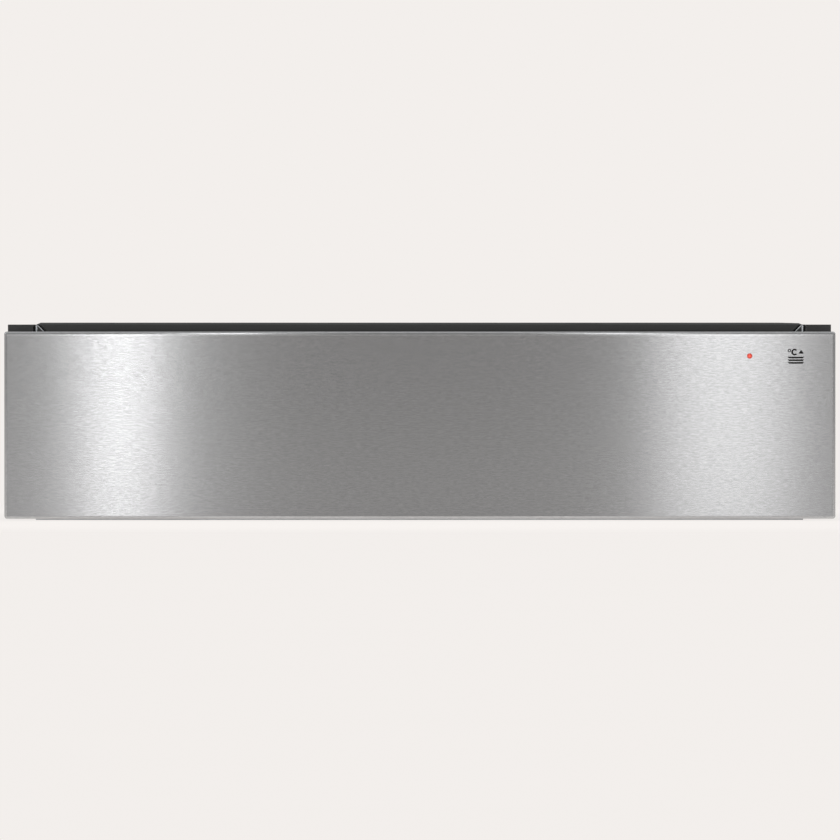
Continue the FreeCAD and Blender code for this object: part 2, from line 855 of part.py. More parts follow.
def build_tray():
    """Sheet-steel tray with hemmed sides and a slotted back, its mat, and its screws to the front."""
    depth = ("tray_front_back", "tray_rear")
    node(block("tray_base", both_ways("tray_half"), depth, ("tray_under", "tray_floor")), "tray_base")
    holes = [(x, z, "screw_radius") for x, z in tray_screw_places()]
    tray_front = new_body("tray_front")
    outline = rectangle(both_ways("tray_half"), ("tray_under", "tray_top"))
    pad(tray_front, "XZ", "front_back", "tray_front_back", [outline], holes)
    node(tray_front, "tray_front")

    for side, sign in SIDES:
        wall = new_body(f"tray_side_{side}")
        inner, outer = f"{sign} * tray_inside", f"{sign} * tray_half"
        hem = f"{sign} * (tray_half + tray_hem)"
        section = [
            (inner, "tray_floor"),
            (outer, "tray_floor"),
            (outer, "tray_top - tray_sheet"),
            (hem, "tray_top - tray_sheet"),
            (hem, "tray_top"),
            (inner, "tray_top"),
        ]
        pad(wall, "XZ", *depth, [section])
        drill_stations(wall, sign, "tray_inside", "tray_half")
        node(wall, f"tray_side_{side}")

    back = new_body("tray_back")
    back_outline = rectangle(both_ways("tray_inside"), ("tray_floor", "back_top"))
    back_y = ("tray_rear - tray_sheet", "tray_rear")
    pad(back, "XZ", *back_y, [back_outline])
    slot_left = "-((back_slot_count - 1) * slot_pitch + slot_width) / 2"
    slot_z = ("tray_under + back_slot_margin", "back_top - back_slot_margin")
    slot = rectangle((slot_left, f"{slot_left} + slot_width"), slot_z)
    first_slot = pocket(back, "XZ", *back_y, [slot])
    repeat_linear(back, first_slot, "X_Axis", "slot_pitch", "back_slot_count")
    node(back, "tray_back")

    mat = new_body("tray_mat")
    mat_x = both_ways("tray_inside - mat_margin")
    mat_y = ("tray_front_back + mat_margin", "tray_rear - tray_sheet - mat_margin")
    pad(mat, "XY", "tray_floor", "mat_top", [rectangle(mat_x, mat_y)])
    middle_z = value("(tray_floor + mat_top) / 2")
    dress(mat, "Fillet", lambda middle: near(middle.z, middle_z), {"Radius": "mat_corner"})
    node(mat, "tray_mat")



# --- Runners ----------------------------------------------------------------------------------------


def runner_stations():
    """Places along the runners where screws hold them."""
    return [f"runner_front + runner_length * {share} / 8" for share in (1, 4, 7)]


def drill_stations(body, sign, inside, outside):
    """Drill the holes of the runner screws through a wall that stands across X."""
    holes = [(y, "runner_centre", "screw_radius") for y in runner_stations()]
    pocket(body, "YZ", *times(sign, inside, outside), circles=holes)


def channel(name, sign, web, tip, half, sheet, extent):
    """A channel along Y: its web stands at one distance from the middle and its flanges end at another."""
    inward = 1 if value(tip) < value(web) else -1
    web_inside = f"({web}) - {inward} * {sheet}"
    low, high = f"runner_centre - ({half})", f"runner_centre + ({half})"
    points = [
        (web, low),
        (tip, low),
        (tip, f"{low} + {sheet}"),
        (web_inside, f"{low} + {sheet}"),
        (web_inside, f"{high} - {sheet}"),
        (tip, f"{high} - {sheet}"),
        (tip, high),
        (web, high),
    ]
    body = new_body(name)
    pad(body, "XZ", *extent, [[(f"{sign} * ({x})", z) for x, z in points]])
    return body


def build_cage(name, sign, web, race):
    """A sheet cage between two members, with a hole for each ball in its two flanges."""
    half = f"({race} + cage_sheet / 2)"
    cage = channel(name, sign, web, "cage_tip", half, "cage_sheet", ("cage_front", "cage_rear"))
    hole = (f"{sign} * ball_line", "cage_front + cage_end", "ball_radius + 3 * ball_clearance")
    first = pocket(cage, "XY", f"runner_centre - {half}", f"runner_centre + {half}", circles=[hole])
    repeat_linear(cage, first, "Y_Axis", "ball_pitch", "ball_count")
    return cage


def race_balls(name, sign, race):
    """The balls above and below one cage, a pitch apart."""
    balls = []
    for level in (-1, 1):
        for number in range(int(SIZES["ball_count"])):
            along = f"cage_front + cage_end + {number} * ball_pitch"
            centre = (f"{sign} * ball_line", along, f"runner_centre + {level} * {race}")
            balls.append(ball(name, centre, "ball_radius"))
    return balls


def build_runners():
    """Outer, middle and inner members on both sides, with the cages and balls between them."""
    extent = ("runner_front", "runner_rear")
    members = (
        ("outer", "wall_inside", "outer_tip", "outer_half"),
        ("middle", "middle_web", "middle_tip", "middle_half"),
        ("inner", "tray_half", "inner_tip", "inner_half"),
    )
    drilled = {"outer": ("outer_web", "wall_inside"), "inner": ("tray_half", "inner_web")}
    cages = (("outer", "outer_cage_web", "outer_race"), ("inner", "inner_cage_web", "inner_race"))
    for side, sign in SIDES:
        for member, web, tip, half in members:
            label = f"runner_{member}_{side}"
            profile = channel(label, sign, web, tip, half, "runner_sheet", extent)
            if member in drilled:
                drill_stations(profile, sign, *drilled[member])
            node(profile, label)
    for member, web, race in cages:
        pair = [build_cage(f"{member}_cage_{side}", sign, web, race) for side, sign in SIDES]
        node(group(f"{member}_ball_cages", pair), f"{member}_ball_cages")
        balls = [one for side, sign in SIDES for one in race_balls(f"{member}_ball_{side}", sign, race)]
        node(group(f"{member}_balls", balls), f"{member}_balls")



def build_screws():
    """Screws of the housing (rear panel and outer members) and of the tray (front and inner members)."""
    housing_screws = [
        screw("rear_screw", "-Y", (x, "panel_back", z), "2 * housing_sheet")
        for _, sign in SIDES
        for x, z in rear_screw_places(sign)
    ]
    tray_screws = [
        screw("front_screw", "-Y", (x, "tray_front_back", z), "tray_screw_length")
        for x, z in tray_screw_places()
    ]
    for side, sign in SIDES:
        inwards, outwards = ("-X", "+X") if sign > 0 else ("+X", "-X")
        for y in runner_stations():
            wall_seat = (f"{sign} * housing_half", y, "runner_centre")
            tray_seat = (f"{sign} * tray_inside", y, "runner_centre")
            wall_reach, tray_reach = "housing_sheet + runner_sheet", "tray_sheet + runner_sheet"
            housing_screws.append(screw(f"wall_screw_{side}", inwards, wall_seat, wall_reach))
            tray_screws.append(screw(f"tray_screw_{side}", outwards, tray_seat, tray_reach))
    node(group("housing_screws", housing_screws), "housing_screws")
    node(group("tray_screws", tray_screws), "tray_screws")


# --- Controls ---------------------------------------------------------------------------------------


def build_fascia():
    """Recessed cup behind the rail's window, with holes for the knob, the lamp and the switch."""
    fascia = new_body("control_fascia")
    front = "flange_front + rail_sheet"
    outer_x = ("fascia_left - fascia_rim", "fascia_right + fascia_rim")
    outer_z = ("fascia_low - fascia_rim", "fascia_top + fascia_rim")
    pad(fascia, "XZ", front, "fascia_back", [rectangle(outer_x, outer_z)])
    window = rectangle(("fascia_left", "fascia_right"), ("fascia_low", "fascia_top"))
    pocket(fascia, "XZ", front, "recess_floor", [window])
    switch_x = around("switch_centre", "switch_width / 2 - rocker_side_gap")
    switch_z = around("fascia_middle", "switch_height / 2 - rocker_side_gap")
    openings = [
        ("knob_centre", "fascia_middle", "bush_radius + running_clearance"),
        ("lamp_centre", "lamp_height", "lamp_radius + running_clearance"),
    ]
    pocket(fascia, "XZ", "recess_floor", "fascia_back", [rectangle(switch_x, switch_z)], openings)
    node(fascia, "control_fascia")


def build_thermostat():
    """Thermostat behind the fascia, its bush through the floor, and the knob on its shaft."""
    box_x = around("knob_centre", "thermostat_width / 2")
    box_y = ("fascia_back", "fascia_back + thermostat_depth")
    box_z = around("fascia_middle", "thermostat_height / 2")
    box = block("thermostat_box", box_x, box_y, box_z)
    bush_length = "fascia_floor + knob_gap - 2 * bush_gap"
    bush = rod("bush", "-Y", ("knob_centre", "fascia_back", "fascia_middle"), "bush_radius", bush_length)
    bore_radius = "shaft_radius + running_clearance"
    bore_start = ("knob_centre", "recess_floor - knob_gap", "fascia_middle")
    bore = rod("bush_bore", "+Y", bore_start, bore_radius, "knob_gap + fascia_floor + thermostat_depth / 2")
    node(cut("thermostat", fuse("thermostat_body", [box, bush]), [bore]), "thermostat")

    knob = new_body("temperature_knob")
    length = "recess_floor - knob_gap - (flange_front + knob_clear)"
    pad(knob, "XZ", "0", length, circles=[("0", "0", "knob_radius")])
    grip = ("0", "knob_radius + grip_radius / 3", "grip_radius")
    first_grip = pocket(knob, "XZ", "0", f"{length} - knob_wall", circles=[grip])
    repeat_round(knob, first_grip, "Y_Axis", "knob_grip_count")
    pocket(knob, "XZ", "knob_wall", length, circles=[("0", "0", "shaft_radius")])
    put(knob, "knob_centre", "flange_front + knob_clear", "fascia_middle")
    node(knob, "temperature_knob")
    shaft_front = "flange_front + knob_clear + knob_wall"
    shaft_length = f"fascia_back + thermostat_depth / 2 - knob_gap - ({shaft_front})"
    shaft_start = ("knob_centre", shaft_front, "fascia_middle")
    node(rod("knob_shaft", "+Y", shaft_start, "shaft_radius", shaft_length), "knob_shaft")


def build_lamp():
    """Pilot lamp that reaches through the recess towards the light guide."""
    front = "flange_front + knob_clear"
    lamp_length = f"fascia_back - ({front})"
    bulb = rod("lamp_bulb", "+Y", ("lamp_centre", front, "lamp_height"), "lamp_radius", lamp_length)
    socket_seat = ("lamp_centre", "fascia_back", "lamp_height")
    socket = rod("lamp_socket", "+Y", socket_seat, "lamp_socket_radius", "lamp_socket_length")
    node(fuse("pilot_lamp", [bulb, socket]), "pilot_lamp")


def build_switch():
    """Power switch: a framed housing in the fascia's floor and the rocker that tips on two pins in it."""
    frame = new_body("power_switch")
    half_x, half_z = "switch_width / 2", "switch_height / 2"
    neck_x, neck_z = f"{half_x} - 2 * rocker_side_gap", f"{half_z} - 2 * rocker_side_gap"
    bezel_front = "-switch_bezel"
    pad(frame, "XZ", bezel_front, "0", [rectangle(both_ways(half_x), both_ways(half_z))])
    pad(frame, "XZ", bezel_front, "switch_depth", [rectangle(both_ways(neck_x), both_ways(neck_z))])
    hollow_x = both_ways("rocker_width / 2 + rocker_side_gap")
    hollow_z = both_ways("rocker_height / 2 + rocker_end_gap")
    hollow_back = "rocker_pivot_depth + rocker_back + 2 * rocker_end_gap"
    pocket(frame, "XZ", bezel_front, hollow_back, [rectangle(hollow_x, hollow_z)])
    pin_half = "rocker_width / 2 + rocker_pin_length + rocker_side_gap"
    pin_hole = ("rocker_pivot_depth", "0", "rocker_pin_radius + running_clearance")
    pocket(frame, "YZ", f"-({pin_half})", pin_half, circles=[pin_hole])
    put(frame, "switch_centre", "recess_floor", "fascia_middle")
    node(frame, "power_switch")

    rocker = new_body("power_rocker")
    half_height = "rocker_height / 2"
    section = [
        ("-rocker_front - rocker_pivot_depth + rocker_dip", "0"),
        ("-rocker_front - rocker_pivot_depth", half_height),
        ("rocker_back", half_height),
        ("rocker_back", f"-{half_height}"),
        ("-rocker_front - rocker_pivot_depth", f"-{half_height}"),
    ]
    pad(rocker, "YZ", "-rocker_width / 2", "rocker_width / 2", [section])
    pin = ("0", "0", "rocker_pin_radius")
    reach = "rocker_width / 2 + rocker_pin_length"
    pad(rocker, "YZ", f"-({reach})", reach, circles=[pin])
    rocker.Placement = Placement(Vector(), Rotation(Vector(1, 0, 0), 1))
    bind(rocker, {"Placement.Rotation.Angle": "rocker_angle"})
    put(rocker, "switch_centre", "recess_floor + rocker_pivot_depth", "fascia_middle")
    node(rocker, "power_rocker")


# --- Fan and heater ---------------------------------------------------------------------------------


def build_fan():
    """Radial fan wheel on the motor's shaft, the motor on its plate, and the plate on the base."""
    wheel = new_body("fan_wheel")
    pad(wheel, "XZ", "fan_depth - fan_disc", "fan_depth", circles=[("0", "0", "fan_radius")])
    pad(wheel, "XZ", "fan_depth - hub_length", "fan_depth", circles=[("0", "0", "hub_radius")])
    ring = [("0", "0", "fan_radius"), ("0", "0", "fan_inner_radius")]
    blade_x = both_ways("blade_sheet / 2")
    blade = rectangle(blade_x, ("fan_inner_radius", "fan_radius - blade_sheet"))
    first_blade = pad(wheel, "XZ", "0", "fan_depth", [blade])
    repeat_round(wheel, first_blade, "Y_Axis", "fan_blade_count")
    pad(wheel, "XZ", "0", "fan_disc", circles=ring)
    pocket(wheel, "XZ", "fan_depth - hub_length", "fan_depth", circles=[("0", "0", "motor_shaft_radius")])
    put(wheel, "0", "fan_front", "fan_height")
    node(wheel, "fan_wheel")

    shaft_y = "fan_back - hub_length"
    motor_front = "fan_plate_back - motor_nose_length"
    shaft_length = f"fan_plate_back + motor_length / 2 - ({shaft_y})"
    shaft_start, nose_start = ("0", shaft_y, "fan_height"), ("0", motor_front, "fan_height")
    node(rod("motor_shaft", "+Y", shaft_start, "motor_shaft_radius", shaft_length), "motor_shaft")
    can = rod("motor_can", "+Y", ("0", "fan_plate_back", "fan_height"), "motor_radius", "motor_length")
    nose = rod("motor_nose", "+Y", nose_start, "motor_nose_radius", "motor_nose_length")
    bore_length = "motor_nose_length + motor_length / 2 + running_clearance"
    bore_radius = "motor_shaft_radius + running_clearance"
    bore = rod("motor_bore", "+Y", nose_start, bore_radius, bore_length)
    node(cut("fan_motor", fuse("motor_body", [can, nose]), [bore]), "fan_motor")

    plate = new_body("fan_plate")
    plate_x = both_ways("fan_plate_width / 2")
    outline = rectangle(plate_x, ("housing_sheet", "fan_plate_top"))
    nose_hole = ("0", "fan_height", "motor_nose_radius + plate_clearance")
    leg_hole_radius = "heater_tube + plate_clearance"
    leg_holes = [(f"{sign} * {heater_end_x()}", heater_end_z(), leg_hole_radius) for _, sign in SIDES]
    pad(plate, "XZ", "fan_plate_front", "fan_plate_back", [outline], [nose_hole, *leg_holes])
    foot = rectangle(plate_x, ("housing_sheet", "housing_sheet + fan_plate_sheet"))
    pad(plate, "XZ", "fan_plate_front", "fan_plate_back + fan_plate_foot", [foot])
    node(plate, "fan_plate")


def heater_end_x():
    """Distance of the heater's two ends from the middle."""
    return "(heater_radius * sin(heater_opening_angle / 2 * 1deg))"


def heater_end_z():
    """Height of the heater's two ends."""
    return "(fan_height - heater_radius * cos(heater_opening_angle / 2 * 1deg))"


def build_heater():
    """Tubular heater: an open ring round the fan wheel, with two legs back through the fan plate."""
    ring = doc.addObject("Part::Torus", "heater_ring")
    ring.Placement = Placement(Vector(), Rotation(Vector(1, 0, 0), 90))
    bind(ring, {"Radius1": "heater_radius", "Radius2": "heater_tube", "Angle3": "360 - heater_opening_angle"})
    put(ring, "0", "heater_plane", "fan_height")
    opening_turn = Rotation(Vector(0, 0, 1), value("heater_opening_angle / 2") - 90)
    turn = Rotation(Vector(1, 0, 0), 90).multiply(opening_turn)
    ring.Placement = Placement(ring.Placement.Base, turn)
    pieces = [ring]
    for side, sign in SIDES:
        end = (f"{sign} * {heater_end_x()}", "heater_plane", heater_end_z())
        pieces.append(ball(f"heater_bend_{side}", end, "heater_tube"))
        pieces.append(rod(f"heater_leg_{side}", "+Y", end, "heater_tube", "heater_leg"))
    node(fuse("heating_element", pieces), "heating_element")

    seat = ("cutout_side", "fan_plate_front", "cutout_height")
    node(rod("thermal_cutout", "-Y", seat, "cutout_radius", "cutout_depth"), "thermal_cutout")


# --- Electrics --------------------------------------------------------------------------------------


def lead(name, points):
    """A lead along straight runs joined by tangent arcs, as a round tube that is flat at both ends."""
    radius, bend = value("lead_radius"), value("lead_bend")
    stops = [Vector(*(value(text) for text in point)) for point in points]
    edges, start = [], stops[0]
    for before, corner, after in zip(stops, stops[1:], stops[2:]):
        back, ahead = (before - corner).normalize(), (after - corner).normalize()
        inset = bend / math.tan(back.getAngle(ahead) / 2)
        first, last = corner + back * inset, corner + ahead * inset
        bisector = (back + ahead).normalize()
        reach = (inset ** 2 + bend ** 2) ** 0.5
        middle = corner + bisector * (reach - bend)
        edges.append(Part.LineSegment(start, first).toShape())
        edges.append(Part.Arc(first, middle, last).toShape())
        start = last
    edges.append(Part.LineSegment(start, stops[-1]).toShape())
    path = Part.Wire(edges)
    section = Part.Wire(Part.makeCircle(radius, stops[0], stops[1] - stops[0]))
    tube = doc.addObject("Part::Feature", name)
    tube.Shape = path.makePipeShell([section], True, False)
    tube.Placement = Placement()
    return tube


def build_electrics():
    """Mains inlet with its pins, terminal block, the harness to the controls and the two short leads."""
    terminal_x = ("terminal_left", "terminal_left + terminal_width")
    terminal_y = ("terminal_front", "terminal_back")
    node(block("terminal_block", terminal_x, terminal_y, ("housing_sheet", "terminal_top")), "terminal_block")

    inlet = new_body("mains_inlet")
    half_x, half_z = "inlet_width / 2", "inlet_rise / 2"
    flange_x = both_ways(f"{half_x} + inlet_flange")
    flange_z = both_ways(f"{half_z} + inlet_flange / 2")
    pad(inlet, "XZ", "0", "screw_head_height", [rectangle(flange_x, flange_z)])
    pad(inlet, "XZ", "-inlet_depth", "screw_head_height", [rectangle(both_ways(half_x), both_ways(half_z))])
    socket_x, socket_z = both_ways(f"{half_x} - inlet_wall"), both_ways(f"{half_z} - inlet_wall")
    socket_floor = "screw_head_height - inlet_socket_depth"
    pocket(inlet, "XZ", socket_floor, "screw_head_height", [rectangle(socket_x, socket_z)])
    put(inlet, "inlet_side", "panel_back", "inlet_height")
    node(inlet, "mains_inlet")
    pins = []
    for across, up in ((-1, -0.3), (0, 0.3), (1, -0.3)):
        centre_x = f"inlet_side + {across} * pin_spread"
        centre_z = f"inlet_height + {up} * pin_height"
        pin_y = (f"panel_back + {socket_floor}", f"panel_back + {socket_floor} + pin_length")
        pin_x, pin_z = around(centre_x, "pin_width / 2"), around(centre_z, "pin_height / 2")
        pins.append(block("inlet_pin", pin_x, pin_y, pin_z))
    node(group("inlet_pins", pins), "inlet_pins")

    terminal_middle = "(terminal_front + terminal_back) / 2"
    harness_start = "fascia_back + thermostat_depth"
    harness = lead("harness", [
        ("lead_start", harness_start, "lead_height"),
        ("lead_start", f"{harness_start} + lead_run", "lead_height"),
        ("lead_line", f"{harness_start} + lead_run", "lead_height"),
        ("lead_line", terminal_middle, "lead_height"),
        ("lead_line", terminal_middle, "lead_low"),
        ("terminal_left + terminal_width", terminal_middle, "lead_low"),
    ])
    node(harness, "wiring_harness")
    inlet_lead = lead("inlet_lead", [
        ("inlet_side", "panel_back - inlet_depth", "inlet_height"),
        ("inlet_side", terminal_middle, "inlet_height"),
        ("inlet_side", terminal_middle, "terminal_top"),
    ])
    heater_tip = "heater_plane + heater_leg"
    lead_y = f"{heater_tip} + lead_run"
    heater_lead = lead("heater_lead", [
        (heater_end_x(), heater_tip, heater_end_z()),
        (heater_end_x(), lead_y, heater_end_z()),
        ("inlet_side", lead_y, "lead_low"),
        ("inlet_side", "terminal_back", "lead_low"),
    ])
    node(group("rear_leads", [inlet_lead, heater_lead]), "rear_leads")

    clips = []
    bore_start = ("lead_line", "flange_front", "lead_height")
    for number in range(int(SIZES["clip_count"])):
        clip_y = around(f"(flange_front + roof_wool_front + clip_pitch * {number})", "clip_width / 2")
        clip_x = ("lead_line - lead_radius - clip_wall", "wall_inside")
        clip_z = around("lead_height", "clip_height / 2")
        solid = block(f"clip_{number}", clip_x, clip_y, clip_z)
        bore_radius = "lead_radius + running_clearance"
        bore = rod(f"clip_bore_{number}", "+Y", bore_start, bore_radius, "housing_depth")
        clips.append(cut(f"cable_clip_{number}", solid, [bore]))
    node(group("cable_clips", clips), "cable_clips")


# --- Push latch -------------------------------------------------------------------------------------


def build_latch():
    """Push latch on the partition: body, sprung plunger and the striker plate on the tray's back."""
    tip = "tray_rear + striker_sheet + push_stroke + plunger_gap"
    body_x = around("latch_side", "latch_width / 2")
    body_z = around("latch_height", "latch_width / 2")
    chamber_length = "plunger_gap + collar_sheet + plunger_stroke + spring_length"
    body_back = f"partition_back + {chamber_length} + 2 * latch_wall"
    case = block("latch_case", body_x, ("partition_back", body_back), body_z)
    mouth = ("latch_side", "partition_back", "latch_height")
    neck = rod("latch_neck", "+Y", mouth, "plunger_radius + running_clearance", "2 * latch_wall")
    chamber_start = ("latch_side", "partition_back + latch_wall", "latch_height")
    chamber = rod("latch_chamber", "+Y", chamber_start, "plunger_collar + running_clearance", chamber_length)
    node(cut("latch_body", case, [neck, chamber]), "latch_body")

    collar_front = "partition_back + latch_wall + plunger_gap"
    collar_back = f"{collar_front} + collar_sheet"
    tip_place = ("latch_side", tip, "latch_height")
    stem = rod("plunger_stem", "+Y", tip_place, "plunger_radius", f"{collar_back} - ({tip})")
    collar_place = ("latch_side", collar_front, "latch_height")
    collar = rod("plunger_collar_disc", "+Y", collar_place, "plunger_collar", "collar_sheet")
    node(fuse("latch_plunger", [stem, collar]), "latch_plunger")

    striker_x = around("latch_side", "striker_width / 2")
    striker_y = ("tray_rear", "tray_rear + striker_sheet")
    striker_z = around("latch_height", "striker_width / 2")
    node(block("latch_striker", striker_x, striker_y, striker_z), "latch_striker")


# --- Build, check, export ---------------------------------------------------------------------------

build_shell()
build_flanges()
build_rail()
build_chamber()
build_front()
build_tray()
build_runners()
build_screws()
build_fascia()
build_thermostat()
build_lamp()
build_switch()
build_fan()
build_heater()
build_electrics()
build_latch()
doc.recompute()

for thing in doc.Objects:
    if "Invalid" in thing.State or "Error" in thing.State:
        raise RuntimeError(f"{thing.Label} did not compute: {thing.State}")
for before, after in cuts:
    if after.Shape.Volume > before.Shape.Volume - 0.001:
        raise RuntimeError(f"{after.Label} cuts nothing")
for thing in nodes:
    if thing.Shape.isNull() or not thing.Shape.isValid():
        raise RuntimeError(f"{thing.Label} has no valid shape")

os.makedirs("parts", exist_ok=True)
for thing in nodes:
    thing.Shape.exportStep(os.path.join("parts", thing.Label + ".step"))
    print(f"{thing.Label}: {len(thing.Shape.Solids)} solids, {thing.Shape.Volume:.0f} mm3")
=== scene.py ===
"""Looks of a built-in warming drawer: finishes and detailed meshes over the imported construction."""

import json
import logging
import math
from dataclasses import dataclass
from enum import Enum
from typing import Any, Callable, Iterable, Sequence, Union

import bmesh
import bpy
from bmesh.types import BMEdge, BMFace, BMVert
from bpy.types import Material, Mesh, Object
from mathutils import Matrix, Vector


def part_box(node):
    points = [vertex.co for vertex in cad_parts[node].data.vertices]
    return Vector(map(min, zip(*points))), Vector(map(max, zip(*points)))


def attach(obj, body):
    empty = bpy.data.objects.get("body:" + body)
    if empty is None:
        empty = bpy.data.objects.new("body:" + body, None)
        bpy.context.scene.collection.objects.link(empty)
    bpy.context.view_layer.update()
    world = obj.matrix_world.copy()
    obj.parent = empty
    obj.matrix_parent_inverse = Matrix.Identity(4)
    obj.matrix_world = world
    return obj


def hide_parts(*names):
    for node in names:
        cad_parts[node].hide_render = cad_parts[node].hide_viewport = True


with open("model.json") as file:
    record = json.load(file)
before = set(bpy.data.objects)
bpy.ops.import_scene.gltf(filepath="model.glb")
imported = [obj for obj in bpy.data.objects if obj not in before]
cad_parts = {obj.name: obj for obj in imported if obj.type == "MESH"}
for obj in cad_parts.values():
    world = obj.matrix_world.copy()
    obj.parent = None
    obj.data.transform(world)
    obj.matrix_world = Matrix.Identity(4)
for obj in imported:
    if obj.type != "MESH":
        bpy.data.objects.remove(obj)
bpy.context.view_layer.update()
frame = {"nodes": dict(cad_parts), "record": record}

LOG = logging.getLogger("warming_drawer")
MM = 0.001

Colour = tuple[float, float, float]
Stops = Sequence[tuple[float, Colour]]
Profile = Sequence[tuple[float, float]]
Point = tuple[float, float, float]
WHITE: Colour = (1.0, 1.0, 1.0)
BLACK: Colour = (0.0, 0.0, 0.0)


def grey(level: float) -> Colour:
    """A neutral colour of one level."""
    return (level, level, level)


def scaled(colour: Colour, factor: float) -> Colour:
    """A colour made darker or lighter by one factor."""
    return tuple(min(1.0, channel * factor) for channel in colour)


# --- Shader trees ---


def maths_operator(operation: str, swapped: bool = False) -> Callable[["Signal", "Number"], "Signal"]:
    """One of Python's operators on signals.

    Args:
        operation: the Math node's operation.
        swapped: whether the number stands first, as in 1 - mask.

    Returns:
        The method that adds the Math node.
    """
    def method(self: "Signal", other: "Number") -> "Signal":
        """Add the Math node."""
        return self.graph.maths(operation, *((other, self) if swapped else (self, other)))
    return method


class Signal:
    """An output socket that Python's operators extend with Math nodes."""

    def __init__(self, graph: "NodeGraph", socket: bpy.types.NodeSocket) -> None:
        """Hold a socket and the graph that it belongs to."""
        self.graph = graph
        self.socket = socket

    __add__, __radd__ = maths_operator("ADD"), maths_operator("ADD", True)
    __sub__, __rsub__ = maths_operator("SUBTRACT"), maths_operator("SUBTRACT", True)
    __mul__, __rmul__ = maths_operator("MULTIPLY"), maths_operator("MULTIPLY", True)
    __truediv__, __rtruediv__ = maths_operator("DIVIDE"), maths_operator("DIVIDE", True)

    def swing(self, amount: float) -> "Signal":
        """What a level between 0 and 1 adds when it swings a value by an amount."""
        return (self - 0.5) * amount


Number = Union[Signal, float]


class NodeGraph:
    """The nodes of a material or a world, and the one method that adds to them."""

    def __init__(self, holder: Material | bpy.types.World, output: str) -> None:
        """Empty the holder's node tree and give it its output node."""
        holder.use_nodes = True
        self.nodes, self.links = holder.node_tree.nodes, holder.node_tree.links
        self.nodes.clear()
        self.output = self.nodes.new(output)

    def feed(self, socket: bpy.types.NodeSocket, value: Any) -> None:
        """Link a signal to a socket, or set its number, vector or colour."""
        if isinstance(value, Signal):
            self.links.new(value.socket, socket)
        elif isinstance(value, tuple) and socket.type == "RGBA":
            socket.default_value = (*value, 1.0)[:4]
        else:
            socket.default_value = value

    def add(self, kind: str, settings: dict[str, Any] | None = None,
            sockets: dict[str | int, Any] | None = None, output: str | int = 0) -> Signal:
        """Add any node.

        Args:
            kind: the node's type.
            settings: its own settings, set first; "stops" are a ramp's stops.
            sockets: the values or links of its inputs, by name or number.
            output: the output to return.

        Returns:
            The signal of that output.
        """
        made = self.nodes.new(kind)
        for name, setting in (settings or {}).items():
            if name == "stops":
                self.set_stops(made.color_ramp, setting)
            else:
                setattr(made, name, setting)
        for key, value in (sockets or {}).items():
            self.feed(made.inputs[key], value)
        return Signal(self, made.outputs[output])

    @staticmethod
    def set_stops(ramp: bpy.types.ColorRamp, stops: Stops) -> None:
        """Give a ramp its stops, from low to high."""
        while len(ramp.elements) < len(stops):
            ramp.elements.new(0.5)
        for element, (position, colour) in zip(ramp.elements, stops):
            element.position = position
            element.color = (*colour, 1.0)

    def maths(self, operation: str, *values: Number) -> Signal:
        """A Math node over signals and numbers."""
        return self.add("ShaderNodeMath", {"operation": operation}, dict(enumerate(values)))


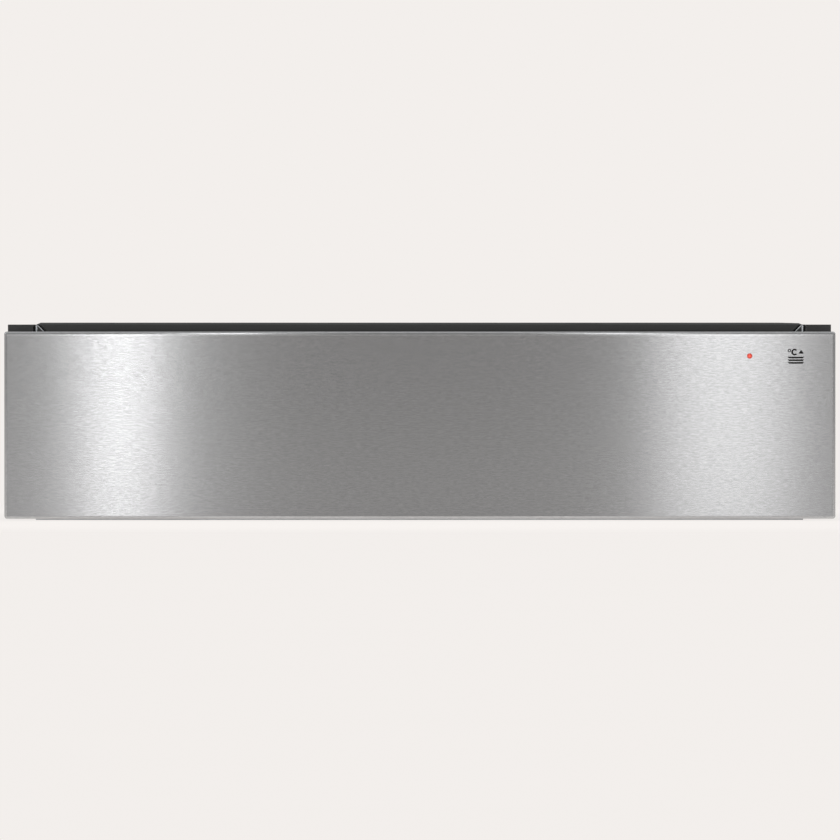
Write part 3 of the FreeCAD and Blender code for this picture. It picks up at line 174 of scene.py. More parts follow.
class ShaderTree(NodeGraph):
    """The node tree of one material: its Principled shader and the patterns that feed it."""

    def __init__(self, name: str) -> None:
        """Make an empty material with a Principled shader on its output."""
        self.material = bpy.data.materials.new(name)
        super().__init__(self.material, "ShaderNodeOutputMaterial")
        self.shader = self.nodes.new("ShaderNodeBsdfPrincipled")
        self.links.new(self.shader.outputs[0], self.output.inputs[0])
        self.place = self.add("ShaderNodeTexCoord", output="Object")

    def axis(self, letter: str) -> Signal:
        """One of the Object coordinates, in metres."""
        return self.add("ShaderNodeSeparateXYZ", {}, {0: self.place}, letter)

    def spread(self, scale: float | Sequence[float]) -> dict[str, Any]:
        """A pattern's place and scale, stretched where the scale has one number for each axis."""
        if isinstance(scale, (int, float)):
            return {"Vector": self.place, "Scale": scale}
        stretched = self.add("ShaderNodeMapping", {}, {"Vector": self.place, "Scale": scale})
        return {"Vector": stretched, "Scale": 1.0}

    def noise(self, scale: float | Sequence[float], detail: float = 2.0, rough: float = 0.5,
              warp: float = 0.0) -> Signal:
        """Noise between 0 and 1.

        Args:
            scale: grains per metre, one number or one for each axis.
            detail: octaves.
            rough: how strong the finer octaves are.
            warp: distortion.

        Returns:
            The noise's level.
        """
        sockets = {**self.spread(scale), "Detail": detail, "Roughness": rough, "Distortion": warp}
        return self.add("ShaderNodeTexNoise", {}, sockets)

    def cells(self, scale: float, feature: str = "F1", output: str = "Distance") -> Signal:
        """A Voronoi pattern: its distance, or its colour for one level a cell."""
        return self.add("ShaderNodeTexVoronoi", {"feature": feature}, self.spread(scale), output)

    def between(self, signal: Signal, low: float, high: float, bottom: float = 0.0,
                top: float = 1.0) -> Signal:
        """A signal's stretch from low to high, spread smoothly over bottom to top."""
        sockets = {0: signal, 1: low, 2: high, 3: bottom, 4: top}
        return self.add("ShaderNodeMapRange", {"interpolation_type": "SMOOTHSTEP"}, sockets)

    def border(self, low: Vector, high: Vector, width: float, axes: str) -> Signal:
        """Where the object's surface is close to the sides of a box.

        Args:
            low: the box's lowest corner.
            high: its highest corner.
            width: how far in from a side the border reaches.
            axes: the letters of the axes whose two sides count.

        Returns:
            1 in the border and 0 inside it.
        """
        strips = []
        for letter in axes:
            number = "XYZ".index(letter)
            for wall, inward in ((low[number], width), (high[number], -width)):
                strips.append(self.between(self.axis(letter), wall + inward, wall + inward * 0.8))
        border = strips[0]
        for strip in strips[1:]:
            border = self.maths("MAXIMUM", border, strip)
        return border

    def mix(self, factor: Number, first: Signal | Colour, second: Signal | Colour,
            blend: str = "MIX") -> Signal:
        """Two colours mixed by a factor."""
        settings = {"data_type": "RGBA", "blend_type": blend, "clamp_factor": True}
        return self.add("ShaderNodeMix", settings, {0: factor, 6: first, 7: second}, 2)

    def ramp(self, signal: Signal, stops: Stops) -> Signal:
        """A signal turned into colours."""
        return self.add("ShaderNodeValToRGB", {"stops": stops}, {0: signal})

    def bump(self, height: Signal, depth: float, strength: float = 1.0) -> None:
        """Give the shader a relief of one depth in metres."""
        sockets = {"Strength": strength, "Distance": depth, "Height": height}
        self.set(Normal=self.add("ShaderNodeBump", {}, sockets))

    def set(self, **sockets: Any) -> None:
        """Set the shader's own sockets, with spaces written as underscores."""
        for name, value in sockets.items():
            self.feed(self.shader.inputs[name.replace("_", " ")], value)


# --- Finishes ---


class Grain(Enum):
    """The way in which a sheet was brushed: coarse across, long along."""

    ALONG_X = "X"
    ALONG_Y = "Y"

    def stretch(self, along: float, across: float) -> tuple[float, ...]:
        """Scales that draw a pattern out along the grain, from marks per metre each way."""
        return tuple(along if letter == self.value else across for letter in "XYZ")


@dataclass(frozen=True)
class Finish:
    """What every finish has: a name, a base colour and how rough it is."""

    name: str
    colour: Colour
    roughness: float

    def paint(self, tree: ShaderTree) -> None:
        """Fill in the shader tree."""
        raise NotImplementedError

    def tint(self, factor: float) -> Colour:
        """The base colour, darker or lighter by a factor."""
        return scaled(self.colour, factor)

    def tones(self, tree: ShaderTree, level: Signal, low: float, high: float) -> Signal:
        """Two tints of the base colour, mixed by a level."""
        return tree.mix(level, self.tint(low), self.tint(high))

    def material(self) -> Material:
        """The finish as a new material."""
        tree = ShaderTree(self.name)
        self.paint(tree)
        return tree.material


@dataclass(frozen=True)
class BrushedSteel(Finish):
    """Stainless steel brushed one way: fine streaks, faint cloudiness and a few long hairlines."""

    grain: Grain = Grain.ALONG_X
    anisotropy: float = 0.8
    streak: float = 0.05
    groove: float = 0.006 * MM
    gloss_change: float = 0.08

    def paint(self, tree: ShaderTree) -> None:
        """Streaks in colour, roughness and relief."""
        fine = tree.noise(self.grain.stretch(330.0, 1900.0), 2.0, 0.6)
        short = tree.noise(self.grain.stretch(170.0, 1500.0), 1.0, 0.5)
        long = tree.noise(self.grain.stretch(30.0, 1300.0), 2.0, 0.5)
        cloud = tree.noise(7.0, 2.0, 0.5, 0.4)
        hairline = tree.between(tree.noise(self.grain.stretch(8.0, 1900.0), 1.0, 0.4), 0.68, 0.76)
        streaks = fine * 0.50 + short * 0.35 + long * 0.15
        level = tree.between(streaks, 0.38, 0.62)
        bright = self.tones(tree, level, 1 - self.streak, 1 + self.streak)
        scored = tree.mix(hairline * 0.3, bright, self.tint(1 + 2 * self.streak))
        # grade paints highlights and a floor reflection into the front's colour; a plain sheet gets none.
        clouded = self.grade(tree, tree.mix(cloud * 0.3, scored, self.tint(0.92)))
        roughness = self.roughness - streaks.swing(self.gloss_change) + cloud.swing(0.02)
        tree.set(Base_Color=clouded, Metallic=1.0, Roughness=roughness, Anisotropic=self.anisotropy,
                 Anisotropic_Rotation=0.25 if self.grain is Grain.ALONG_X else 0.0)
        tree.bump(streaks * 0.8 + hairline * 0.2, self.groove, 0.6)

    def grade(self, tree: ShaderTree, colour: Signal) -> Signal:
        """The colour, with no painted highlight or reflection on a plain sheet."""
        return colour


@dataclass(frozen=True)
class FoldedFront(BrushedSteel):
    """A brushed front with painted highlights on its folded edges, and a painted reflection of the floor that
    makes its foot brighter than its top.
    """

    low: Vector = Vector()
    high: Vector = Vector((1.0, 1.0, 1.0))
    rim: float = 1.9 * MM
    rim_lift: float = 0.42
    foot_lift: float = 0.05
    crest_share: float = 0.35

    def grade(self, tree: ShaderTree, colour: Signal) -> Signal:
        """Paint highlights along the rims, and a painted reflection of the floor that lightens the colour
        towards the foot and darkens it towards the top.
        """
        up = tree.axis("Z")
        # Masks of the painted highlights: the side edges, the foot's edge (a painted floor reflection) and
        # the top crest.
        side = tree.border(self.low, self.high, self.rim, "X")
        foot = tree.between(up, self.low.z + self.rim, self.low.z + self.rim * 0.8)
        crest = (tree.between(up, self.high.z - self.rim * 1.8, self.high.z - self.rim * 1.5)
                 * tree.between(up, self.high.z - self.rim * 0.5, self.high.z - self.rim * 0.8))
        rim = tree.maths("MAXIMUM", tree.maths("MAXIMUM", side, foot), crest * self.crest_share)
        # Painted floor reflection: the colour is lifted towards the foot and lowered towards the top.
        fall = tree.between(up, self.low.z, self.high.z, 1.0 + self.foot_lift, 1.0 - self.foot_lift)
        return tree.mix(1.0, colour, fall + rim * self.rim_lift, "MULTIPLY")


@dataclass(frozen=True)
class SpangledZinc(Finish):
    """Hot-dip galvanised sheet: crystal spangle, each flake with its own tone and gloss."""

    spangle: float = 95.0

    def paint(self, tree: ShaderTree) -> None:
        """Flakes over a mottled base, with dull oxide in places."""
        flake = tree.add("ShaderNodeSeparateColor", {}, {0: tree.cells(self.spangle, output="Color")})
        small = tree.add("ShaderNodeSeparateColor", {}, {0: tree.cells(self.spangle * 3.1, output="Color")})
        feather = tree.noise(self.spangle * 6, 4.0, 0.6, 0.8)
        oxide = tree.between(tree.noise(14.0, 4.0, 0.6), 0.48, 0.74)
        tone = flake * 0.6 + small * 0.25 + feather * 0.15
        sheet = self.tones(tree, tone, 0.78, 1.16)
        tree.set(Base_Color=tree.mix(oxide * 0.45, sheet, (0.50, 0.51, 0.52)), Metallic=1.0 - oxide * 0.25,
                 Roughness=self.roughness + flake.swing(0.20) + oxide * 0.14)
        tree.bump(flake * 0.5 + feather * 0.5, 0.02 * MM, 0.5)


@dataclass(frozen=True)
class SatinEnamel(Finish):
    """Dark satin coating on steel: orange peel, faint handling marks and fine dust."""

    peel: float = 900.0

    def paint(self, tree: ShaderTree) -> None:
        """Orange peel in the relief, rubbed patches in the gloss."""
        skin = tree.noise(self.peel, 2.0, 0.5)
        fleck = tree.between(tree.cells(2600.0), 0.0, 0.26, 1.0, 0.0)
        rubbed = tree.between(tree.noise((16.0, 16.0, 40.0), 4.0, 0.6, 0.5), 0.46, 0.72)
        scuff = tree.between(tree.noise((22.0, 1400.0, 1400.0), 2.0, 0.5), 0.72, 0.80)
        base = self.tones(tree, skin, 0.86, 1.14)
        dusty = tree.mix(rubbed * 0.22 + fleck * 0.08, base, self.tint(2.1))
        # grade paints shade on the cover's rim; a plain coating gets none.
        tree.set(Base_Color=self.grade(tree, tree.mix(scuff * 0.10, dusty, grey(0.30))),
                 Roughness=self.roughness + skin.swing(0.10) + rubbed * 0.12 - scuff * 0.10,
                 Specular_IOR_Level=0.25)
        tree.bump(skin * 0.8 + fleck * 0.2, 0.03 * MM, 0.45)

    def grade(self, tree: ShaderTree, colour: Signal) -> Signal:
        """The colour, with no painted shade on a plain coating."""
        return colour


@dataclass(frozen=True)
class RimmedEnamel(SatinEnamel):
    """The coating of the cover, with painted shade that darkens its sloped rim."""

    low: Vector = Vector()
    high: Vector = Vector((1.0, 1.0, 1.0))
    rim: float = 3.1 * MM
    rim_level: float = 0.4

    def grade(self, tree: ShaderTree, colour: Signal) -> Signal:
        """Darken the colour on the rim with painted shade."""
        rim = tree.border(self.low, self.high, self.rim, "XY")
        return tree.mix(rim, colour, self.tint(self.rim_level))


@dataclass(frozen=True)
class BrightZinc(Finish):
    """Electroplated zinc: bright, a little blue and straw, with drawing lines along the part."""

    grain: Grain = Grain.ALONG_Y

    def paint(self, tree: ShaderTree) -> None:
        """Passivation tints and fine lines."""
        tint = tree.noise(26.0, 2.0, 0.5, 0.6)
        line = tree.noise(self.grain.stretch(16.0, 2300.0), 3.0, 0.6)
        pit = tree.between(tree.noise(1900.0, 2.0, 0.5), 0.66, 0.78)
        film = tree.ramp(tint, ((0.25, self.tint(0.92)), (0.45, self.colour),
                                (0.60, (0.66, 0.62, 0.52)), (0.75, (0.56, 0.61, 0.70))))
        lined = tree.mix(line.swing(0.5) + 0.2, film, self.tint(0.70))
        tree.set(Base_Color=tree.mix(pit * 0.35, lined, grey(0.30)), Metallic=1.0,
                 Roughness=self.roughness + line.swing(0.16) + pit * 0.2)
        tree.bump(line * 0.8 - pit * 0.5, 0.01 * MM, 0.5)


@dataclass(frozen=True)
class PolishedSteel(Finish):
    """Ground and polished steel: near-mirror, with faint grinding marks and an oil film."""

    def paint(self, tree: ShaderTree) -> None:
        """Faint marks in gloss and tone."""
        mark = tree.noise(2400.0, 3.0, 0.55)
        film = tree.noise(60.0, 2.0, 0.5, 0.4)
        shade = self.tones(tree, film, 0.88, 1.05)
        tree.set(Base_Color=shade, Metallic=1.0,
                 Roughness=self.roughness + mark.swing(0.08) + film.swing(0.06))
        tree.bump(mark, 0.004 * MM, 0.5)


@dataclass(frozen=True)
class MouldedPlastic(Finish):
    """Injection-moulded plastic with a spark-eroded texture."""

    texture: float = 1500.0
    relief: float = 0.03 * MM
    sheen_marks: float = 0.10
    coat: float = 0.0

    def paint(self, tree: ShaderTree) -> None:
        """Texture in the relief and slow changes in gloss."""
        grain = tree.noise(self.texture, 3.0, 0.6)
        pebble = tree.cells(self.texture * 0.7, "SMOOTH_F1")
        flow = tree.noise((20.0, 44.0, 30.0), 3.0, 0.5, 0.8)
        tone = self.tones(tree, flow, 0.88, 1.12)
        speck = tree.mix(tree.between(grain, 0.55, 0.75) * 0.18, tone, self.tint(1.5))
        tree.set(Base_Color=speck, Roughness=self.roughness + flow.swing(self.sheen_marks)
                 + grain.swing(0.10), Coat_Weight=self.coat, Coat_Roughness=0.12)
        tree.bump(grain * 0.5 + pebble * 0.5, self.relief, 0.5)


@dataclass(frozen=True)
class PrintedInk(Finish):
    """A thin film of fired ink: nearly black and matt, with pinholes."""

    def paint(self, tree: ShaderTree) -> None:
        """Uneven cover and gloss."""
        film = tree.noise(1400.0, 3.0, 0.6)
        pinhole = tree.between(tree.noise(5200.0, 1.0, 0.5), 0.70, 0.80)
        tone = self.tones(tree, film, 0.7, 1.4)
        tree.set(Base_Color=tree.mix(pinhole * 0.3, tone, grey(0.12)), Specular_IOR_Level=0.2,
                 Roughness=self.roughness + film.swing(0.12))
        tree.bump(film, 0.008 * MM, 0.4)


@dataclass(frozen=True)
class SoftRubber(Finish):
    """Matt silicone or rubber with a fine bloom and lint."""

    def paint(self, tree: ShaderTree) -> None:
        """Bloom in the tone, a soft grain in the relief."""
        bloom = tree.noise(30.0, 4.0, 0.6, 0.5)
        grain = tree.noise(2100.0, 3.0, 0.6)
        lint = tree.between(tree.noise((900.0, 260.0, 900.0), 2.0, 0.4, 1.2), 0.70, 0.78)
        tone = self.tones(tree, bloom, 0.80, 1.35)
        tree.set(Base_Color=tree.mix(lint * 0.25, tone, grey(0.35)), Specular_IOR_Level=0.35,
                 Roughness=self.roughness + bloom.swing(0.12) + grain.swing(0.06),
                 Sheen_Weight=0.15, Sheen_Roughness=0.5)
        tree.bump(grain, 0.04 * MM, 0.5)


@dataclass(frozen=True)
class MineralWool(Finish):
    """A felted mat of fine fibres, laid in waves."""

    def paint(self, tree: ShaderTree) -> None:
        """Crossed fibres, clumps and dark gaps."""
        lay = tree.noise((70.0, 620.0, 900.0), 4.0, 0.65, 1.6)
        cross = tree.noise((640.0, 90.0, 900.0), 4.0, 0.65, 1.6)
        clump = tree.noise(55.0, 3.0, 0.6, 0.7)
        fibres = lay * 0.55 + cross * 0.45
        tone = tree.ramp(fibres, ((0.30, self.tint(0.35)), (0.46, self.tint(0.85)),
                                  (0.58, self.colour), (0.72, self.tint(1.4))))
        tree.set(Base_Color=tree.mix(clump * 0.4, tone, self.tint(0.6)), Roughness=self.roughness,
                 Sheen_Weight=0.3, Sheen_Roughness=0.6)
        tree.bump(fibres * 0.7 + clump * 0.3, 0.6 * MM, 0.9)


@dataclass(frozen=True)
class LitLens(Finish):
    """A small coloured lens, lit from behind: bright in the middle, deeper at its rim."""

    centre: Point = (0.0, 0.0, 0.0)
    radius: float = 2.0 * MM
    glow: float = 1.0
    hot: Colour = WHITE

    def paint(self, tree: ShaderTree) -> None:
        """Glow that falls off from the lens's own middle."""
        across = tree.axis("X") - self.centre[0]
        up = tree.axis("Z") - self.centre[2]
        reach = tree.maths("SQRT", across * across + up * up) / self.radius
        ripple = tree.noise(1800.0, 2.0, 0.5)
        heart = tree.between(reach + ripple.swing(0.25), 0.1, 1.0, 1.0, 0.0)
        tree.set(Base_Color=tree.mix(heart, self.tint(0.55), self.colour),
                 Emission_Color=tree.mix(heart, self.tint(0.45), self.hot),
                 Emission_Strength=self.glow, Roughness=self.roughness + ripple.swing(0.08),
                 Coat_Weight=0.6, Coat_Roughness=0.05)
        tree.bump(ripple, 0.01 * MM, 0.4)


@dataclass(frozen=True)
class ClearPlastic(Finish):
    """Clear acrylic or glass, with faint flow lines."""

    passing: float = 0.9

    def paint(self, tree: ShaderTree) -> None:
        """Nearly clear, a little cloudy inside."""
        cloud = tree.noise(160.0, 3.0, 0.5, 0.6)
        tree.set(Base_Color=tree.mix(cloud, self.tint(0.92), self.colour), IOR=1.49,
                 Transmission_Weight=self.passing, Roughness=self.roughness + cloud.swing(0.06))
        tree.bump(cloud, 0.01 * MM, 0.3)


@dataclass(frozen=True)
class StainedMetal(Finish):
    """Metal that heat or handling has stained: drawn lines, smudges and a second tint."""

    stain: Colour = (0.3, 0.3, 0.3)
    amount: float = 0.5
    patch: float = 40.0
    grain_scale: float = 1800.0

    def paint(self, tree: ShaderTree) -> None:
        """Stain in patches over a drawn surface."""
        patch = tree.between(tree.noise(self.patch, 4.0, 0.6, 0.7), 0.38, 0.66)
        line = tree.noise(self.grain_scale, 3.0, 0.6)
        base = self.tones(tree, line, 0.84, 1.10)
        tree.set(Base_Color=tree.mix(patch * self.amount, base, self.stain), Metallic=1.0 - patch * 0.2,
                 Roughness=self.roughness + patch * 0.16 + line.swing(0.10))
        tree.bump(line * 0.6 + patch * 0.4, 0.02 * MM, 0.5)


@dataclass(frozen=True)
class BraidedSleeve(Finish):
    """Glass-fibre sleeving over a lead: a fine diagonal braid."""

    pitch: float = 1.6 * MM

    def paint(self, tree: ShaderTree) -> None:
        """Two crossing sets of yarns."""
        turns = 2 * math.pi / self.pitch
        along = tree.axis("X") + tree.axis("Y") + tree.axis("Z")
        across = tree.axis("X") - tree.axis("Y") + tree.axis("Z") * 0.37
        right = tree.maths("SINE", (along + across * 0.8) * turns)
        left = tree.maths("SINE", (along - across * 0.8) * turns)
        yarn = tree.maths("MAXIMUM", right, left) * 0.5 + 0.5
        fuzz = tree.noise(2600.0, 3.0, 0.6)
        tone = tree.mix(yarn, self.tint(0.35), self.colour)
        tree.set(Base_Color=tree.mix(fuzz * 0.3, tone, self.tint(0.7)), Roughness=self.roughness)
        tree.bump(yarn * 0.8 + fuzz * 0.2, 0.2 * MM, 0.8)


STEEL: Colour = (0.366, 0.369, 0.374)
LAMP_MIDDLE = tuple(sum(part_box("pilot_lamp"), Vector()) / 2)
SLOT_FINISHES: dict[str, Finish] = {
    # The front's finish paints highlights on its edges and a reflection of the floor towards its foot.
    "front_steel": FoldedFront("front_brushed_steel_painted_light", STEEL, 0.205, Grain.ALONG_X, 0.95, 0.10, 0.006 * MM,
                               0.08, *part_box("front_panel")),
    "tray_steel": BrushedSteel("tray_satin_steel", (0.60, 0.60, 0.60), 0.46, Grain.ALONG_Y, 0.5, 0.06),
    "galvanised": SpangledZinc("galvanised_sheet", (0.58, 0.60, 0.62), 0.38),
    "housing_enamel": SatinEnamel("housing_enamel", grey(0.062), 0.48),
    "runner_zinc": BrightZinc("runner_zinc", (0.62, 0.64, 0.66), 0.26),
    "polished_steel": PolishedSteel("polished_steel", (0.74, 0.74, 0.75), 0.12),
    "screw_steel": BrightZinc("screw_zinc", (0.60, 0.61, 0.63), 0.22, Grain.ALONG_X),
    "mat_silicone": SoftRubber("mat_silicone", (0.030, 0.031, 0.034), 0.72),
    "bumper_rubber": SoftRubber("bumper_rubber", (0.16, 0.16, 0.17), 0.62),
    "wool": MineralWool("mineral_wool", (0.62, 0.53, 0.28), 0.95),
    "red_lens": LitLens("red_lens", (0.85, 0.06, 0.03), 0.18),
    "clear_guide": ClearPlastic("clear_guide", (0.90, 0.93, 0.96), 0.10),
    "black_plastic": MouldedPlastic("black_plastic", grey(0.022), 0.50),
    "rocker_plastic": MouldedPlastic("rocker_plastic", grey(0.016), 0.28, 2600.0, 0.01 * MM, 0.06, 0.3),
    "knob_plastic": MouldedPlastic("knob_plastic", grey(0.028), 0.40, 2200.0, 0.02 * MM),
    "pale_plastic": MouldedPlastic("pale_plastic", (0.70, 0.68, 0.62), 0.45, 1200.0),
    "motor_steel": StainedMetal("motor_steel", (0.50, 0.50, 0.50), 0.36, (0.34, 0.33, 0.31), 0.35, 60.0),
    "lamp_glass": LitLens("lamp_glass", (0.85, 0.30, 0.10), 0.10, LAMP_MIDDLE, 4.0 * MM, 0.35,
                          (1.0, 0.34, 0.12)),
    "heater_steel": StainedMetal("heater_steel", (0.30, 0.29, 0.28), 0.42, (0.16, 0.12, 0.20), 0.8, 55.0),
    "pin_brass": StainedMetal("pin_brass", (0.75, 0.56, 0.28), 0.24, (0.45, 0.30, 0.14), 0.4, 220.0),
    "lead_sleeve": BraidedSleeve("lead_sleeve", (0.72, 0.71, 0.68), 0.80),
    "fan_aluminium": StainedMetal("fan_aluminium", (0.72, 0.73, 0.74), 0.34, (0.50, 0.51, 0.53), 0.4, 90.0),
}


class Wardrobe:
    """Gives every slot its one material."""

    def __init__(self, finishes: dict[str, Finish]) -> None:
        """Hold the finishes; each becomes a material when it is first asked for."""
        self.finishes = finishes
        self.made: dict[str, Material] = {}

    def material(self, slot: str) -> Material:
        """The material of a slot."""
        if slot not in self.made:
            self.made[slot] = self.finishes[slot].material()
        return self.made[slot]

    def dress_nodes(self, record: dict[str, Any]) -> None:
        """Give every node of the construction the finish of its slot."""
        for part in record["subparts"]:
            thing = frame["nodes"][part["node"]]
            material = self.material(part["material_slot"])
            for holder in thing.material_slots:
                holder.material = material
            if not thing.material_slots:
                thing.data.materials.append(material)


WARDROBE = Wardrobe(SLOT_FINISHES)


# --- Mesh tools ---


# A face that is wider than this is one of the flat ones, and isn't shaded round its edges.
FLAT_WIDTH = 3.0 * MM
# Vertices that are closer than this are one.
MERGE = 0.0001 * MM
# Edges over this angle, in degrees, stay sharp unless a piece says otherwise.
SHARP = 35.0
# A face looks a way when its normal agrees with it by more than this.
FACING = 0.9
# Directions out of the front of the appliance, into it, to its right and up.
OUT = Vector((0, -1, 0))
IN = Vector((0, 1, 0))
ACROSS = Vector((1, 0, 0))
UP = Vector((0, 0, 1))
# The turn that stands a flat drawing in the XY plane up, so that it reads from the front.
UPRIGHT = Matrix.Rotation(math.radians(90), 4, "X")


def near(first: float, second: float, slack: float = 0.02 * MM) -> bool:
    """Whether two places are the same."""
    return abs(first - second) < slack


def placed(name: str, data: bpy.types.ID) -> Object:
    """A new object in the scene."""
    thing = bpy.data.objects.new(name, data)
    bpy.context.scene.collection.objects.link(thing)
    return thing


def turned(shares: Profile, radius: float, height: float) -> list[tuple[float, float]]:
    """A lathe's profile from shares of a radius and a height."""
    return [(radius * out, height * up) for out, up in shares]


def facing(direction: Vector) -> Matrix:
    """The turn that points +Z along a direction."""
    return direction.to_track_quat("Z", "Y").to_matrix().to_4x4()


class Form:
    """A mesh that grows by bmesh operators and ends as one finished piece."""

    def __init__(self) -> None:
        """Start with nothing."""
        self.mesh = bmesh.new()

    def block(self, low: Sequence[float], high: Sequence[float]) -> list[BMVert]:
        """Add a box between two corners and return its vertices."""
        low, high = Vector(low), Vector(high)
        made = bmesh.ops.create_cube(self.mesh, size=1.0)["verts"]
        bmesh.ops.scale(self.mesh, vec=high - low, verts=made)
        self.move(made, (low + high) / 2)
        return made

    def move(self, vertices: Iterable[BMVert], way: Vector) -> None:
        """Shift vertices."""
        bmesh.ops.translate(self.mesh, vec=way, verts=list(vertices))

    def lathe(self, profile: Profile, centre: Vector, axis: Vector,
              steps: int = 32, angle: float = 2 * math.pi) -> list[BMVert]:
        """Turn a profile round an axis.

        Args:
            profile: points as radius and distance along the axis, from one end to the other.
            centre: where the axis starts.
            axis: its direction.
            steps: how many faces go round.
            angle: how far the profile turns.

        Returns:
            The new vertices.
        """
        before = set(self.mesh.verts)
        axis = axis.normalized()
        side = axis.orthogonal().normalized()
        line = [self.mesh.verts.new(centre + side * radius + axis * along) for radius, along in profile]
        edges = [self.mesh.edges.new(pair) for pair in zip(line, line[1:])]
        whole = near(angle, 2 * math.pi)
        bmesh.ops.spin(self.mesh, geom=line + edges, cent=centre, axis=axis, dvec=(0, 0, 0), angle=angle,
                       steps=steps, use_merge=whole, use_duplicate=False)
        made = [vertex for vertex in self.mesh.verts if vertex not in before]
        bmesh.ops.remove_doubles(self.mesh, verts=made, dist=MERGE)
        return [vertex for vertex in self.mesh.verts if vertex not in before]

    def rib(self, start: Vector, end: Vector, width: float, height: Vector, round_off: float) -> None:
        """Add a long pressed bead with round ends.

        Args:
            start: middle of one end on the sheet.
            end: middle of the other end on the sheet.
            width: how wide it is.
            height: how far, and which way, it stands up.
            round_off: the width of its sloped edge.
        """
        place = Matrix.Translation(start) @ facing(height.normalized())
        ring = bmesh.ops.create_circle(self.mesh, cap_ends=True, radius=width / 2, segments=24,
                                       matrix=place)["verts"]
        along = end - start
        self.move([vertex for vertex in ring if (vertex.co - start).dot(along) > 1e-9], along)
        face = ring[0].link_faces[0]
        raised = bmesh.ops.extrude_face_region(self.mesh, geom=[face])["geom"]
        top = [item for item in raised if isinstance(item, BMFace)]
        self.move(top[0].verts, height)
        self.bevel(top[0].edges, round_off)

    def bevel(self, edges: Iterable[BMEdge], offset: float, segments: int = 3) -> None:
        """Round edges."""
        bmesh.ops.bevel(self.mesh, geom=list(edges), offset=offset, offset_type="OFFSET", segments=segments,
                        profile=0.5, affect="EDGES", clamp_overlap=True, material=-1)

    def edges(self, test: Callable[[Vector, Vector], bool]) -> list[BMEdge]:
        """The edges whose two ends pass a test."""
        return [edge for edge in self.mesh.edges if test(edge.verts[0].co, edge.verts[1].co)]

    def looking(self, way: Vector) -> list[BMFace]:
        """The faces whose normals point a way."""
        self.mesh.normal_update()
        return [face for face in self.mesh.faces if face.normal.dot(way) > FACING]

    def inset(self, faces: list[BMFace], margin: float, depth: float = 0.0) -> None:
        """Draw a border inside faces, and move what is inside it along their normals."""
        bmesh.ops.inset_region(self.mesh, faces=faces, thickness=margin, depth=depth, use_even_offset=True,
                               use_boundary=True)

    def absorb(self, data: Mesh, place: Matrix = Matrix.Identity(4)) -> None:
        """Add a copy of a finished mesh at a place."""
        before = set(self.mesh.verts)
        self.mesh.from_mesh(data)
        made = [vertex for vertex in self.mesh.verts if vertex not in before]
        bmesh.ops.transform(self.mesh, matrix=place, verts=made)

    def repeat(self, step: Vector, count: int) -> None:
        """Copy all that there is now, count times in all, one step apart."""
        first = self.mesh.verts[:] + self.mesh.edges[:] + self.mesh.faces[:]
        for number in range(1, count):
            copy = bmesh.ops.duplicate(self.mesh, geom=first)["geom"]
            self.move([item for item in copy if isinstance(item, BMVert)], step * number)

    def data(self, name: str, sharp: float = SHARP) -> Mesh:
        """The mesh with doubles merged, normals outwards and edges over an angle kept sharp."""
        bmesh.ops.remove_doubles(self.mesh, verts=self.mesh.verts, dist=MERGE)
        bmesh.ops.recalc_face_normals(self.mesh, faces=self.mesh.faces)
        for face in self.mesh.faces:
            longest = max(edge.calc_length() for edge in face.edges)
            face.smooth = face.calc_area() / longest < FLAT_WIDTH
        for edge in self.mesh.edges:
            edge.smooth = edge.calc_face_angle(0.0) < math.radians(sharp)
        data = bpy.data.meshes.new(name)
        self.mesh.to_mesh(data)
        self.mesh.free()
        return data

    def piece(self, name: str, body: str, slot: str, *stands_for: str, sharp: float = SHARP,
              finish: Material | None = None) -> Object:
        """End as a piece of the object.

        Args:
            name: the piece's name.
            body: the body that it moves with.
            slot: the material slot of its finish.
            stands_for: the nodes that it replaces.
            sharp: edges over this angle, in degrees, stay sharp.
            finish: a material of its own, where the slot's isn't meant.

        Returns:
            The new object.
        """
        thing = placed(name, self.data(name, sharp))
        if not thing.data.polygons:
            raise ValueError(f"{name} has no faces")
        thing.data.materials.append(finish or WARDROBE.material(slot))
        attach(thing, body)
        if stands_for:
            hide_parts(*stands_for)
        LOG.info("%s: %d faces", name, len(thing.data.polygons))
        return thing


def evaluated(thing: Object) -> Mesh:
    """The mesh that an object ends as, once its modifiers or its curve are worked out."""
    graph = bpy.context.evaluated_depsgraph_get()
    return bpy.data.meshes.new_from_object(thing.evaluated_get(graph))


def subtract(name: str, solid: Form, cutter: Form) -> Mesh:
    """A mesh with another one cut out of it."""
    things = [placed(label, form.data(label)) for label, form in ((name, solid), (name + "_cutter", cutter))]
    cut = things[0].modifiers.new("cut", "BOOLEAN")
    cut.object, cut.operation, cut.solver, cut.use_self = things[1], "DIFFERENCE", "EXACT", True
    result = evaluated(things[0])
    for thing in things:
        bpy.data.objects.remove(thing)
    return result


def lettering(text: str, size: float, depth: float) -> Mesh:
    """Plain letters or numbers as a mesh, centred on the origin in the XY plane."""
    curve = bpy.data.curves.new(f"text_{text}", "FONT")
    curve.body, curve.size, curve.extrude = text, size, depth / 2
    curve.align_x, curve.align_y = "CENTER", "CENTER"
    thing = placed(curve.name, curve)
    data = evaluated(thing)
    bpy.data.objects.remove(thing)
    return data


@dataclass
class Shell:
    """One separate solid of a node: its corners and its vertices."""

    low: Vector
    high: Vector
    points: list[Vector]

    @property
    def middle(self) -> Vector:
        """The middle of its box."""
        return (self.low + self.high) / 2


